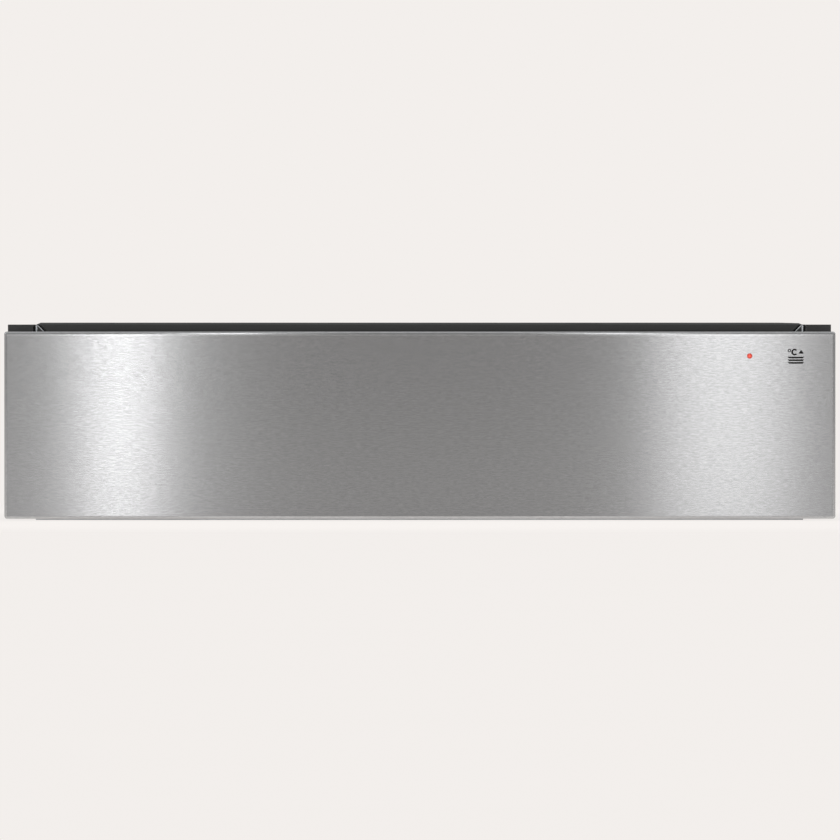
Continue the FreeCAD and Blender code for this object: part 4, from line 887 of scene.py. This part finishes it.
def shells(node: str) -> list[Shell]:
    """The separate solids of a node in order of place, read from a merged copy of its mesh."""
    mesh = bmesh.new()
    mesh.from_mesh(frame["nodes"][node].data)
    bmesh.ops.remove_doubles(mesh, verts=mesh.verts, dist=MERGE)
    left, found = set(mesh.verts), []
    while left:
        queue, points = [left.pop()], []
        while queue:
            vertex = queue.pop()
            points.append(vertex.co.copy())
            for edge in vertex.link_edges:
                other = edge.other_vert(vertex)
                if other in left:
                    left.discard(other)
                    queue.append(other)
        low = Vector(min(point[axis] for point in points) for axis in range(3))
        high = Vector(max(point[axis] for point in points) for axis in range(3))
        found.append(Shell(low, high, points))
    mesh.free()
    return sorted(found, key=lambda shell: tuple(round(value, 5) for value in shell.low))


class Side(Enum):
    """A side of the appliance, as the sign of its x."""

    LEFT = -1
    RIGHT = 1

    def box(self, stem: str) -> tuple[Vector, Vector]:
        """The corners of this side's node of a pair."""
        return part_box(f"{stem}_{self.name.lower()}")

    def block(self, form: Form, x: tuple[float, float], y: tuple[float, float],
              z: tuple[float, float]) -> list[BMVert]:
        """Add a block that spans two places on each axis, with its x in either order."""
        return form.block((min(x), y[0], z[0]), (max(x), y[1], z[1]))


# --- Drawer front ---


@dataclass
class DrawerFront:
    """The brushed steel front with its indicator and its function symbol."""

    bevel: float = 1.9 * MM
    skin: float = 1.2 * MM
    lens_radius: float = 1.95 * MM
    lens_root: float = 0.5 * MM
    lens_dome: Profile = ((0.0, 1.0), (0.45, 0.94), (0.78, 0.72), (0.95, 0.36), (1.0, 0.0))
    print_height: float = 0.05 * MM
    symbol_right: float = 269.1 * MM
    symbol_half: float = 5.9 * MM
    symbol_low: float = 112.6 * MM
    dish_count: int = 3
    dish_pitch: float = 1.9 * MM
    dish_height: float = 1.25 * MM
    dish_taper: float = 1.0 * MM
    letter_left: float = 0.85 * MM
    letter_up: float = 120.3 * MM
    letter_radius: float = 1.8 * MM
    letter_stroke: float = 1.2 * MM
    letter_opening: float = 84.0
    ring_left: float = 4.6 * MM
    ring_up: float = 121.4 * MM
    ring_radius: float = 0.9 * MM
    ring_stroke: float = 0.62 * MM
    arrow_right: float = 3.8 * MM
    arrow_low: float = 119.2 * MM
    arrow_width: float = 4.0 * MM
    arrow_height: float = 2.7 * MM
    arrow_tip: float = 0.02

    def build(self) -> None:
        """Make every piece of the front."""
        self.panel()
        self.symbol()
        self.indicator()

    def panel(self) -> None:
        """The folded steel pan, with soft edges all round its face."""
        low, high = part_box("front_panel")
        form = Form()
        form.block(low, high)
        soft = form.edges(lambda a, b: not (near(a.y, high.y) and near(b.y, high.y)))
        form.bevel(soft, self.bevel, segments=8)
        bmesh.ops.delete(form.mesh, geom=form.looking(IN), context="FACES_ONLY")
        bmesh.ops.solidify(form.mesh, geom=form.mesh.faces[:], thickness=self.skin)
        form.piece("front_pan", "drawer", "front_steel", "front_panel", sharp=50)

    def stroke(self, form: Form, centre: Vector, radius: float, width: float, opening: float = 0.0) -> None:
        """Add a printed ring, or a ring with an opening on its right."""
        low, high = radius - width / 2, radius + width / 2
        profile = [(low, 0.0), (low, self.print_height), (high, self.print_height), (high, 0.0), (low, 0.0)]
        made = form.lathe(profile, centre, OUT, steps=40, angle=math.radians(360.0 - opening))
        if opening:
            ends = [edge for edge in form.mesh.edges if edge.is_boundary and edge.verts[0] in made]
            bmesh.ops.holes_fill(form.mesh, edges=ends, sides=4)
            heavy = sum((vertex.co for vertex in made), Vector()) / len(made) - centre
            turn = Vector((heavy.x, 0, heavy.z)).rotation_difference(-ACROSS)
            bmesh.ops.rotate(form.mesh, cent=centre, matrix=turn.to_matrix(), verts=made)

    @staticmethod
    def narrow(form: Form, vertices: list[BMVert], middle: float, share: float) -> None:
        """Draw vertices in towards a middle, sideways."""
        bmesh.ops.scale(form.mesh, vec=(share, 1, 1), verts=vertices,
                        space=Matrix.Translation((-middle, 0, 0)))

    def symbol(self) -> None:
        """The printed sign for warming dishes: a degree letter, an arrow and three dishes."""
        face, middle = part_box("front_panel")[0].y, self.symbol_right
        film = face - self.print_height
        form = Form()
        self.stroke(form, Vector((middle - self.ring_left, face, self.ring_up)), self.ring_radius,
                    self.ring_stroke)
        self.stroke(form, Vector((middle - self.letter_left, face, self.letter_up)), self.letter_radius,
                    self.letter_stroke, self.letter_opening)
        arrow_middle, half = middle + self.arrow_right, self.arrow_width / 2
        arrow = form.block((arrow_middle - half, film, self.arrow_low),
                           (arrow_middle + half, face, self.arrow_low + self.arrow_height))
        tip = [vertex for vertex in arrow if vertex.co.z > self.arrow_low + self.arrow_height / 2]
        self.narrow(form, tip, arrow_middle, self.arrow_tip)
        for number in range(self.dish_count):
            up = self.symbol_low + number * self.dish_pitch
            dish = form.block((middle - self.symbol_half, film, up - self.dish_height / 2),
                              (middle + self.symbol_half, face, up + self.dish_height / 2))
            lower = [vertex for vertex in dish if vertex.co.z < up]
            self.narrow(form, lower, middle, 1 - self.dish_taper / self.symbol_half)
        ink = PrintedInk("symbol_ink", grey(0.006), 0.55)
        form.piece("front_symbol", "drawer", "black_plastic", finish=ink.material())

    def indicator(self) -> None:
        """The domed lens of the indicator."""
        low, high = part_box("indicator_lens")
        middle, front = (low + high) / 2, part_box("front_panel")[0].y
        radius = self.lens_radius
        root = [(radius, -self.lens_root), (0.0, -self.lens_root)]
        form = Form()
        form.lathe(turned(self.lens_dome, radius, front - low.y) + root, Vector((middle.x, front, middle.z)),
                   OUT, steps=36)
        lens = LitLens("lit_red_lens", (0.87, 0.065, 0.032), 0.2, tuple(middle), radius, 0.38,
                       (0.9, 0.08, 0.035))
        form.piece("indicator_dome", "drawer", "red_lens", "indicator_lens", finish=lens.material(), sharp=60)


# --- Housing ---


@dataclass
class Housing:
    """The cover, the beads of the side and rear panels, the bumpers and the rail's small parts."""

    chamfer_width: float = 3.0 * MM
    chamfer_drop: float = 1.3 * MM
    border: float = 16.0 * MM
    bead_depth: float = 0.8 * MM
    bead_slope: float = 1.6 * MM
    bead_round: float = 0.72 * MM
    bead_count: int = 7
    bead_pitch: float = 70.0 * MM
    bead_width: float = 16.0 * MM
    bead_end: float = 34.0 * MM
    bead_root: float = 0.1 * MM
    side_bead_width: float = 9.0 * MM
    side_bead_rise: float = 1.1 * MM
    side_bead_slope: float = 0.9 * MM
    side_bead_root: float = 0.05 * MM
    side_bead_front: float = 40.0 * MM
    side_bead_rear: float = 30.0 * MM
    side_bead_heights: tuple[float, ...] = (24 * MM, 84 * MM, 118 * MM)
    rear_bead_heights: tuple[float, ...] = (38 * MM, 70 * MM, 102 * MM)
    rear_bead_start: float = -90.0 * MM
    rear_bead_end: float = 130.0 * MM
    bumper_dome: Profile = ((0.0, 1.0), (0.55, 0.97), (0.85, 0.76), (0.98, 0.36), (1.0, 0.0), (0.0, 0.0))
    relief_width: float = 2.0 * MM
    relief_height: float = 10.0 * MM
    relief_depth: float = 10.0 * MM
    foam_gap: float = 0.05 * MM
    foam_set_back: float = 1.0 * MM
    mitre_rise: float = 7.0 * MM
    edge_gap: float = 0.4 * MM
    edge_width: float = 0.7 * MM
    edge_proud: float = 0.08 * MM
    edge_depth: float = 0.2 * MM
    top_gap: float = 0.1 * MM
    fascia_rim: float = 1.5 * MM
    hem_height: float = 1.2 * MM
    hem_round: float = 0.3 * MM

    def build(self) -> None:
        """Make every piece of the housing."""
        self.cover()
        for side in Side:
            self.side_beads(side)
        self.rear_beads()
        self.bumpers()
        # The bend reliefs get near-black blocks of painted shade.
        self.notch_seals()
        # Light strips of painted highlight along the gusset mitres.
        self.mitre_edges()
        self.window_hem()

    def cover(self) -> None:
        """The top plate: a chamfered rim, a sunk field and beads that rise back to the rim."""
        low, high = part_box("top_cover")
        form = Form()
        form.block(low, high)
        top = form.looking(UP)
        form.inset(top, self.chamfer_width)
        rim = [vertex for vertex in form.mesh.verts if near(vertex.co.z, high.z)
               and (near(abs(vertex.co.x), high.x) or near(vertex.co.y, low.y) or near(vertex.co.y, high.y))]
        form.move(rim, -UP * self.chamfer_drop)
        form.inset(top, self.border)
        form.inset(top, self.bead_slope, -self.bead_depth)
        root = high.z - self.bead_depth - self.bead_root
        start_y = low.y + self.chamfer_width + self.border + self.bead_end
        end_y = high.y - self.chamfer_width - self.border - self.bead_end
        for number in range(self.bead_count):
            x = (number - (self.bead_count - 1) / 2) * self.bead_pitch
            form.rib(Vector((x, start_y, root)), Vector((x, end_y, root)), self.bead_width,
                     UP * (self.bead_depth + self.bead_root), self.bead_round)
        # The cover's finish darkens its chamfered rim with painted shade.
        enamel = RimmedEnamel("cover_enamel_painted_rim_shade", grey(0.062), 0.48, 900.0, low, high)
        form.piece("pressed_cover", "housing", "housing_enamel", "top_cover", finish=enamel.material())

    def side_beads(self, side: Side) -> None:
        """The long stiffening beads on one side panel."""
        name = side.name.lower()
        low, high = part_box(f"side_panel_{name}")
        root = (high.x if side is Side.RIGHT else low.x) - side.value * self.side_bead_root
        form = Form()
        for height in self.side_bead_heights:
            form.rib(Vector((root, low.y + self.side_bead_front, height)),
                     Vector((root, high.y - self.side_bead_rear, height)), self.side_bead_width,
                     ACROSS * side.value * self.side_bead_rise, self.side_bead_slope)
        form.piece(f"side_beads_{name}", "housing", "galvanised")

    def rear_beads(self) -> None:
        """The short beads on the rear panel, between the inlet and the vents."""
        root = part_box("rear_panel")[1].y - self.side_bead_root
        form = Form()
        for height in self.rear_bead_heights:
            form.rib(Vector((self.rear_bead_end, root, height)), Vector((self.rear_bead_start, root, height)),
                     self.side_bead_width, IN * self.side_bead_rise, self.side_bead_slope)
        form.piece("rear_beads", "housing", "galvanised")

    def bumpers(self) -> None:
        """Soft domed bumpers on the mounting flanges."""
        form = Form()
        for shell in shells("front_bumpers"):
            radius, height = (shell.high.x - shell.low.x) / 2, shell.high.y - shell.low.y
            seat = Vector((shell.middle.x, shell.high.y, shell.middle.z))
            form.lathe(turned(self.bumper_dome, radius, height), seat, OUT, steps=28)
        form.piece("domed_bumpers", "housing", "bumper_rubber", "front_bumpers")

    def notch_seals(self) -> None:
        """A near-black block in the bend relief at the top of each flange: painted shade that stands for the
        shadow in the notch.
        """
        form, gap = Form(), self.foam_gap
        for side in Side:
            low, high = side.box("mounting_flange")
            root = high.x if side is Side.LEFT else low.x
            side.block(form, (root + side.value * gap, root + side.value * (self.relief_width - gap)),
                       (low.y + self.foam_set_back, low.y + self.relief_depth - gap),
                       (high.z - self.relief_height + gap, high.z - self.top_gap))
        # Painted shade: a near-black matt finish that makes the relief read as shadowed.
        notch_shade_finish = SoftRubber("notch_shade_black", grey(0.006), 0.95)
        form.piece("notch_seals", "housing", "bumper_rubber", finish=notch_shade_finish.material())

    def mitre_edges(self) -> None:
        """A thin light strip along the mitre of each gusset: a painted highlight on the mitre's edge."""
        form = Form()
        for side in Side:
            low, high = side.box("corner_gusset")
            inner = (high.x if side is Side.LEFT else low.x) + side.value * self.edge_gap
            strip = side.block(form, (inner, inner + side.value * self.edge_width),
                               (low.y - self.edge_proud, low.y + self.edge_depth),
                               (high.z - self.mitre_rise, high.z - self.top_gap))
            upper = [vertex for vertex in strip if vertex.co.z > high.z - self.mitre_rise / 2]
            form.move(upper, ACROSS * side.value * self.mitre_rise)
        # The strip's galvanised finish stands for the mitre edge's highlight: painted highlight.
        form.piece("bare_mitre_edges", "housing", "galvanised")

    def window_hem(self) -> None:
        """The hem along the top of the rail's window."""
        low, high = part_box("control_fascia")
        face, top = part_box("top_rail")[0].y, high.z - self.fascia_rim
        form = Form()
        form.block((low.x + self.fascia_rim, face, top - self.hem_height),
                   (high.x - self.fascia_rim, low.y, top))
        lower = form.edges(lambda a, b: near(a.z, b.z) and a.z < top and not near(a.x, b.x))
        form.bevel(lower, self.hem_round, segments=2)
        form.piece("window_hem", "housing", "housing_enamel")


@dataclass
class Screws:
    """Pan-head screws with a cross recess, one in each screw's place."""

    head_radius: float = 3.5 * MM
    head_height: float = 1.6 * MM
    head_dome: Profile = ((0.0, 1.0), (0.40, 0.98), (0.72, 0.86), (0.92, 0.58), (1.0, 0.22), (0.99, 0.0))
    shank_radius: float = 1.75 * MM
    shank_end: Profile = ((1.0, 0.0), (1.0, -0.8), (0.8, -1.0), (0.0, -1.0))
    recess_length: float = 3.6 * MM
    recess_width: float = 0.8 * MM
    recess_depth: float = 1.1 * MM
    recess_taper: float = 0.6
    cross_turn: float = 37.0
    round_slack: float = 0.4 * MM
    end_slack: float = 0.2 * MM
    length_step: float = 0.1 * MM

    def build(self) -> None:
        """Make the housing's screws and the drawer's."""
        self.group("cross_head_housing_screws", "housing_screws", "housing")
        self.group("cross_head_tray_screws", "tray_screws", "drawer")

    def screw(self, length: float) -> Mesh:
        """One screw of a length, its head's seat on the origin and its head towards +Z."""
        head = self.head_height
        solid = Form()
        solid.lathe(turned(self.head_dome, self.head_radius, head)
                    + turned(self.shank_end, self.shank_radius, length - head), Vector(), UP, steps=24)
        cutter = Form()
        half, wide, deep = self.recess_length / 2, self.recess_width / 2, self.recess_depth
        for across, along in ((half, wide), (wide, half)):
            arm = cutter.block((-across, -along, head - deep), (across, along, head + deep))
            tip = [vertex for vertex in arm if vertex.co.z < head]
            bmesh.ops.scale(cutter.mesh, vec=(self.recess_taper, self.recess_taper, 1), verts=tip)
        return subtract("screw", solid, cutter)

    def pose(self, shell: Shell) -> tuple[int, Vector]:
        """Which way a screw lies.

        Args:
            shell: the screw's solid.

        Returns:
            The axis it lies along, which is the one with two like sizes beside it, and the direction of its
            head, which is its wider end.
        """
        size = shell.high - shell.low

        def unlikeness(way: int) -> float:
            """How little an axis looks like that of a round piece."""
            first, second = size[way - 1], size[way - 2]
            alike = near(first, second, self.round_slack)
            return abs(2 * size[way] - first - second) if alike else 1.0 + size[way]

        axis = min(range(3), key=unlikeness)
        widths = []
        for end in (shell.low, shell.high):
            close = [point for point in shell.points if near(point[axis], end[axis], self.end_slack)]
            widths.append(max((point - shell.middle).length for point in close))
        direction = Vector()
        direction[axis] = 1.0 if widths[1] > widths[0] else -1.0
        return axis, direction

    def group(self, name: str, node: str, body: str) -> None:
        """Stand a screw in the place of each solid of a node."""
        form = Form()
        masters: dict[int, Mesh] = {}
        for number, shell in enumerate(shells(node)):
            axis, direction = self.pose(shell)
            length = (shell.high - shell.low)[axis]
            seat = shell.middle + direction * (length / 2 - self.head_height)
            key = round(length / self.length_step)
            if key not in masters:
                masters[key] = self.screw(length)
            spin = Matrix.Rotation(math.radians(self.cross_turn * number % 90), 4, "Z")
            form.absorb(masters[key], Matrix.Translation(seat) @ facing(direction) @ spin)
        form.piece(name, body, "screw_steel", node, sharp=40)


# --- Tray ---


@dataclass
class TrayMat:
    """The anti-slip mat: a thin sheet with round corners, a raised rim and rows of studs."""

    corner: float = 8.0 * MM
    sheet: float = 1.2 * MM
    rim_width: float = 4.0 * MM
    rim_slope: float = 0.6 * MM
    rim_share: float = 0.8
    stud_radius: float = 3.0 * MM
    stud_dome: Profile = ((0.0, 1.0), (0.72, 1.0), (1.0, 0.2))
    stud_root: float = 0.1 * MM
    stud_pitch: float = 14.0 * MM
    margin: float = 14.0 * MM

    def build(self) -> None:
        """Make the mat in the place of its plain solid."""
        low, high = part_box("tray_mat")
        form = Form()
        form.block(low, (high.x, high.y, low.z + self.sheet))
        form.bevel(form.edges(lambda a, b: near(a.x, b.x) and near(a.y, b.y)), self.corner, segments=8)
        top = form.looking(UP)
        raised = high.z - low.z - self.sheet
        rim = raised * self.rim_share
        form.move({vertex for face in top for vertex in face.verts}, UP * rim)
        form.inset(top, self.rim_width)
        form.inset(top, self.rim_slope, -rim)
        studs = Form()
        profile = turned(self.stud_dome, self.stud_radius, raised) + [(self.stud_radius, -self.stud_root)]
        columns = int((high.x - low.x - 2 * self.margin) // self.stud_pitch) + 1
        rows = int((high.y - low.y - 2 * self.margin) // self.stud_pitch) + 1
        first_x = (low.x + high.x - (columns - 1) * self.stud_pitch) / 2
        first_y = (low.y + high.y - (rows - 1) * self.stud_pitch) / 2
        studs.lathe(profile, Vector((first_x, first_y, low.z + self.sheet)), UP, steps=10)
        studs.repeat(ACROSS * self.stud_pitch, columns)
        studs.repeat(IN * self.stud_pitch, rows)
        form.absorb(studs.data("studs"))
        form.piece("studded_mat", "drawer", "mat_silicone", "tray_mat")


# --- Controls ---


@dataclass
class Controls:
    """The temperature knob with its scale, and the marks on the switch."""

    outline: tuple[float, ...] = (0.0, 0.66, 0.72, 0.84, 0.90, 0.93, 0.95, 0.97, 1.0, 1.0, 0.98, 0.80,
                                  0.80, 0.0)
    grips: int = 18
    steps: int = 72
    flute: float = 0.75 * MM
    flute_rise: float = 0.2 * MM
    flute_reach: float = 0.88
    groove: float = 0.4 * MM
    skirt: float = 2.0 * MM
    skirt_round: float = 0.6 * MM
    dish: float = 0.5 * MM
    shoulder: float = 1.4 * MM
    foot: float = 1.0 * MM
    pointer_width: float = 0.9 * MM
    pointer_depth: float = 0.56 * MM
    pointer_round: float = 0.12 * MM
    pointer_reach: tuple[float, float] = (0.30, 0.88)
    print_height: float = 0.06 * MM
    numbers: tuple[int, ...] = (30, 40, 50, 60, 70, 80)
    first_angle: float = -135.0
    last_angle: float = 135.0
    number_size: float = 2.5 * MM
    number_gap: float = 1.75 * MM
    mark_rise: float = 4.6 * MM
    mark_root: float = 0.1 * MM
    bar_half: tuple[float, float] = (0.35 * MM, 1.5 * MM)
    ring_radii: tuple[float, float] = (1.1 * MM, 1.7 * MM)
    floor_offset: float = 2.0 * MM
    probe: float = 5.0 * MM

    def build(self) -> None:
        """Make the knob, its scale and the switch's marks."""
        self.knob()
        self.scale()
        self.switch_marks()

    def knob(self) -> None:
        """The fluted knob, with a pointer line that turns with it."""
        low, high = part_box("temperature_knob")
        middle, radius, depth = (low + high) / 2, (high.x - low.x) / 2, high.y - low.y
        seat = Vector((middle.x, high.y, middle.z))
        crown = depth - self.dish
        heights = (crown, crown, depth, depth, crown, depth - self.shoulder, depth / 2,
                   self.skirt + self.groove, self.skirt, self.skirt_round, 0.0, 0.0, self.foot, self.foot)
        profile = [(radius * share, height) for share, height in zip(self.outline, heights)]
        form = Form()
        for vertex in form.lathe(profile, seat, OUT, self.steps):
            away = vertex.co - seat
            across = Vector((away.x, 0, away.z))
            if away.dot(OUT) > self.skirt + self.flute_rise and across.length > radius * self.flute_reach:
                wave = 0.5 - 0.5 * math.cos(self.grips * math.atan2(away.x, away.z))
                vertex.co -= across.normalized() * self.flute * wave
        form.piece("fluted_knob", "knob", "knob_plastic", "temperature_knob", sharp=50)
        line = Form()
        top, half = seat.y - depth, self.pointer_width / 2
        inner, outer = (middle.z + radius * share for share in self.pointer_reach)
        line.block((middle.x - half, top, inner), (middle.x + half, top + self.pointer_depth, outer))
        line.bevel(line.mesh.edges[:], self.pointer_round, segments=2)
        turn = Matrix.Rotation(math.radians(self.first_angle), 4, "Y")
        place = Matrix.Translation(middle) @ turn @ Matrix.Translation(-middle)
        bmesh.ops.transform(line.mesh, matrix=place, verts=line.mesh.verts)
        line.piece("knob_pointer", "knob", "pale_plastic")

    def scale(self) -> None:
        """The numbers round the knob."""
        low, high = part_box("temperature_knob")
        middle, radius = (low + high) / 2, (high.x - low.x) / 2
        floor = self.floor_behind(middle.x + radius + self.floor_offset, middle.z)
        reach, last = radius + self.number_gap, len(self.numbers) - 1
        form = Form()
        for number, value in enumerate(self.numbers):
            angle = math.radians(self.first_angle + (self.last_angle - self.first_angle) * number / last)
            spot = Vector((middle.x + math.sin(angle) * reach, floor - self.print_height / 2,
                           middle.z + math.cos(angle) * reach))
            form.absorb(lettering(str(value), self.number_size, self.print_height),
                        Matrix.Translation(spot) @ UPRIGHT)
        form.piece("temperature_scale", "housing", "pale_plastic")

    def floor_behind(self, x: float, z: float) -> float:
        """Where the recess's floor is behind a place in front of it."""
        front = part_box("control_fascia")[0].y
        start = Vector((x, front - self.probe, z))
        hit, place, _, _ = frame["nodes"]["control_fascia"].ray_cast(start, IN)
        return place.y if hit else front

    def bar(self) -> Form:
        """The on mark, flat on the XY plane."""
        form, (across, along) = Form(), self.bar_half
        form.block((-across, -along, -self.mark_root), (across, along, self.print_height))
        return form

    def ring(self) -> Form:
        """The off mark, flat on the XY plane."""
        form, (inner, outer) = Form(), self.ring_radii
        root, top = -self.mark_root, self.print_height
        profile = [(inner, root), (inner, top), (outer, top), (outer, root), (inner, root)]
        form.lathe(profile, Vector(), UP, steps=32)
        return form

    def switch_marks(self) -> None:
        """The on and off marks on the rocker, each laid on the face that it stands over."""
        low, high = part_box("power_rocker")
        middle = (low.x + high.x) / 2, low.y - self.probe, (low.z + high.z) / 2
        form = Form()
        for rise, mark in ((self.mark_rise, self.bar()), (-self.mark_rise, self.ring())):
            start = Vector(middle) + UP * rise
            hit, place, normal, _ = frame["nodes"]["power_rocker"].ray_cast(start, IN)
            if not hit:
                raise ValueError("a switch mark has no face to lie on")
            turn = Matrix((ACROSS, normal.cross(ACROSS).normalized(), normal)).transposed().to_4x4()
            form.absorb(mark.data("switch_mark"), Matrix.Translation(place) @ turn)
        form.piece("switch_marks", "rocker", "pale_plastic")


# --- Studio ---


@dataclass(frozen=True)
class SoftLight:
    """A rectangular light that the camera doesn't see."""

    name: str
    place: Point
    aim: Point
    width: float
    height: float
    power: float

    def build(self) -> None:
        """Hang the light and turn it to what it lights."""
        data = bpy.data.lights.new(self.name, "AREA")
        data.shape, data.size, data.size_y, data.energy = "RECTANGLE", self.width, self.height, self.power
        light = placed(self.name, data)
        light.location = self.place
        light.rotation_euler = (Vector(self.aim) - Vector(self.place)).to_track_quat("-Z", "Y").to_euler()
        light.visible_camera = False


def strip(name: str, across: float, width: float, power: float, front: float = -1.55,
          height: float = 1.5) -> SoftLight:
    """A tall light in front that stands on the floor and draws one band on the steel."""
    return SoftLight(name, (across, front, height / 2), (across, 0.0, height / 2), width, height, power)


@dataclass
class Studio:
    """A pale floor, soft light and the camera."""

    backdrop: Colour = (0.896, 0.863, 0.839)
    floor_size: float = 120.0
    floor_shift: float = 0.1
    floor_light: float = 0.62
    shadow_share: float = 0.32
    shadow_reach: float = 0.6
    room: tuple[tuple[float, Colour], ...] = ((0.0, grey(0.30)), (0.50, grey(0.12)), (0.60, grey(0.32)),
                                              (0.80, grey(0.50)), (1.0, grey(0.60)))
    camera_distance: float = 18.0
    camera_height: float = 155.0 * MM
    camera_side: float = -250.0 * MM
    camera_reach: float = 400.0
    aim_height: float = 71.7 * MM
    sensor: float = 36.0
    view_width: float = 601.2 * MM
    lights: tuple[SoftLight, ...] = (
        strip("strip_left", -0.212, 0.046, 1.27),
        strip("strip_right", 0.253, 0.097, 1.32),
        strip("wing_left", -0.300, 0.38, 0.31),
        strip("wing_right", 0.415, 0.20, 0.21),
        SoftLight("overhead", (0.0, 0.3, 2.8), (0.0, 0.1, 0.0), 2.6, 2.6, 13.0),
        SoftLight("fill_left", (-2.6, -1.0, 1.6), (0.0, 0.0, 0.1), 1.4, 1.4, 9.0),
        SoftLight("fill_right", (2.8, 1.2, 1.8), (0.0, 0.1, 0.1), 1.4, 1.4, 9.0),
    )

    def build(self) -> None:
        """Make the floor, the surroundings, the lights and the camera."""
        self.floor()
        self.surroundings()
        for light in self.lights:
            light.build()
        self.camera()

    def floor(self) -> None:
        """A plain pale floor: it takes soft shadows near the object and glows like the backdrop beyond."""
        tree = ShaderTree("studio_floor")
        cloud = tree.noise(3.0, 2.0, 0.5)
        pale = tree.mix(cloud, scaled(self.backdrop, 0.995), self.backdrop)
        across, along = tree.axis("X"), tree.axis("Y") + self.floor_shift
        reach = tree.maths("SQRT", across * across + along * along)
        share = tree.between(reach, self.shadow_reach, 2 * self.shadow_reach, self.shadow_share, 0.0)
        tree.set(Base_Color=tree.mix(share, BLACK, pale), Roughness=1.0, Specular_IOR_Level=0.0,
                 Emission_Color=tree.mix(share * self.floor_light, pale, BLACK), Emission_Strength=1.0)
        mesh = bmesh.new()
        bmesh.ops.create_grid(mesh, x_segments=2, y_segments=2, size=self.floor_size / 2)
        data = bpy.data.meshes.new("studio_floor")
        mesh.to_mesh(data)
        mesh.free()
        data.materials.append(tree.material)
        floor = placed("studio_floor", data)

    def surroundings(self) -> None:
        """A pale backdrop for the camera and a darker room for the reflections."""
        world = bpy.data.worlds.new("studio")
        bpy.context.scene.world = world
        graph = NodeGraph(world, "ShaderNodeOutputWorld")
        way = graph.add("ShaderNodeTexCoord", output="Generated")
        up = graph.add("ShaderNodeSeparateXYZ", {}, {0: way}, "Z")
        rise = graph.add("ShaderNodeMapRange", {}, {0: up, 1: -1.0, 2: 1.0})
        room = graph.add("ShaderNodeValToRGB", {"stops": self.room}, {0: rise})
        seen = graph.add("ShaderNodeLightPath", output="Is Camera Ray")
        blend = graph.add("ShaderNodeMix", {"data_type": "RGBA"}, {0: seen, 6: room, 7: self.backdrop}, 2)
        graph.feed(graph.output.inputs[0], graph.add("ShaderNodeBackground", {}, {0: blend}))

    def camera(self) -> None:
        """A long lens from far in front of the drawer, aimed at the middle of its face."""
        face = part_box("front_panel")[0].y
        data = bpy.data.cameras.new("camera")
        data.sensor_width, data.clip_end = self.sensor, self.camera_reach
        data.lens = self.sensor * self.camera_distance / self.view_width
        camera = placed("camera", data)
        place = Vector((self.camera_side, face - self.camera_distance, self.camera_height))
        aim = Vector((0.0, face, self.aim_height))
        camera.location = place
        camera.rotation_euler = (aim - place).to_track_quat("-Z", "Y").to_euler()
        bpy.context.scene.camera = camera
        bpy.context.scene.view_settings.view_transform = "Standard"


# --- Whole object ---


def main() -> None:
    """Dress the construction, add the detailed pieces and set up the studio."""
    logging.basicConfig(level=logging.INFO, format="%(name)s: %(message)s")
    WARDROBE.dress_nodes(frame["record"])
    for part in (Studio(), DrawerFront(), Housing(), Screws(), TrayMat(), Controls()):
        part.build()
        LOG.info("%s is done", type(part).__name__)


if __name__ == "__main__":
    main()
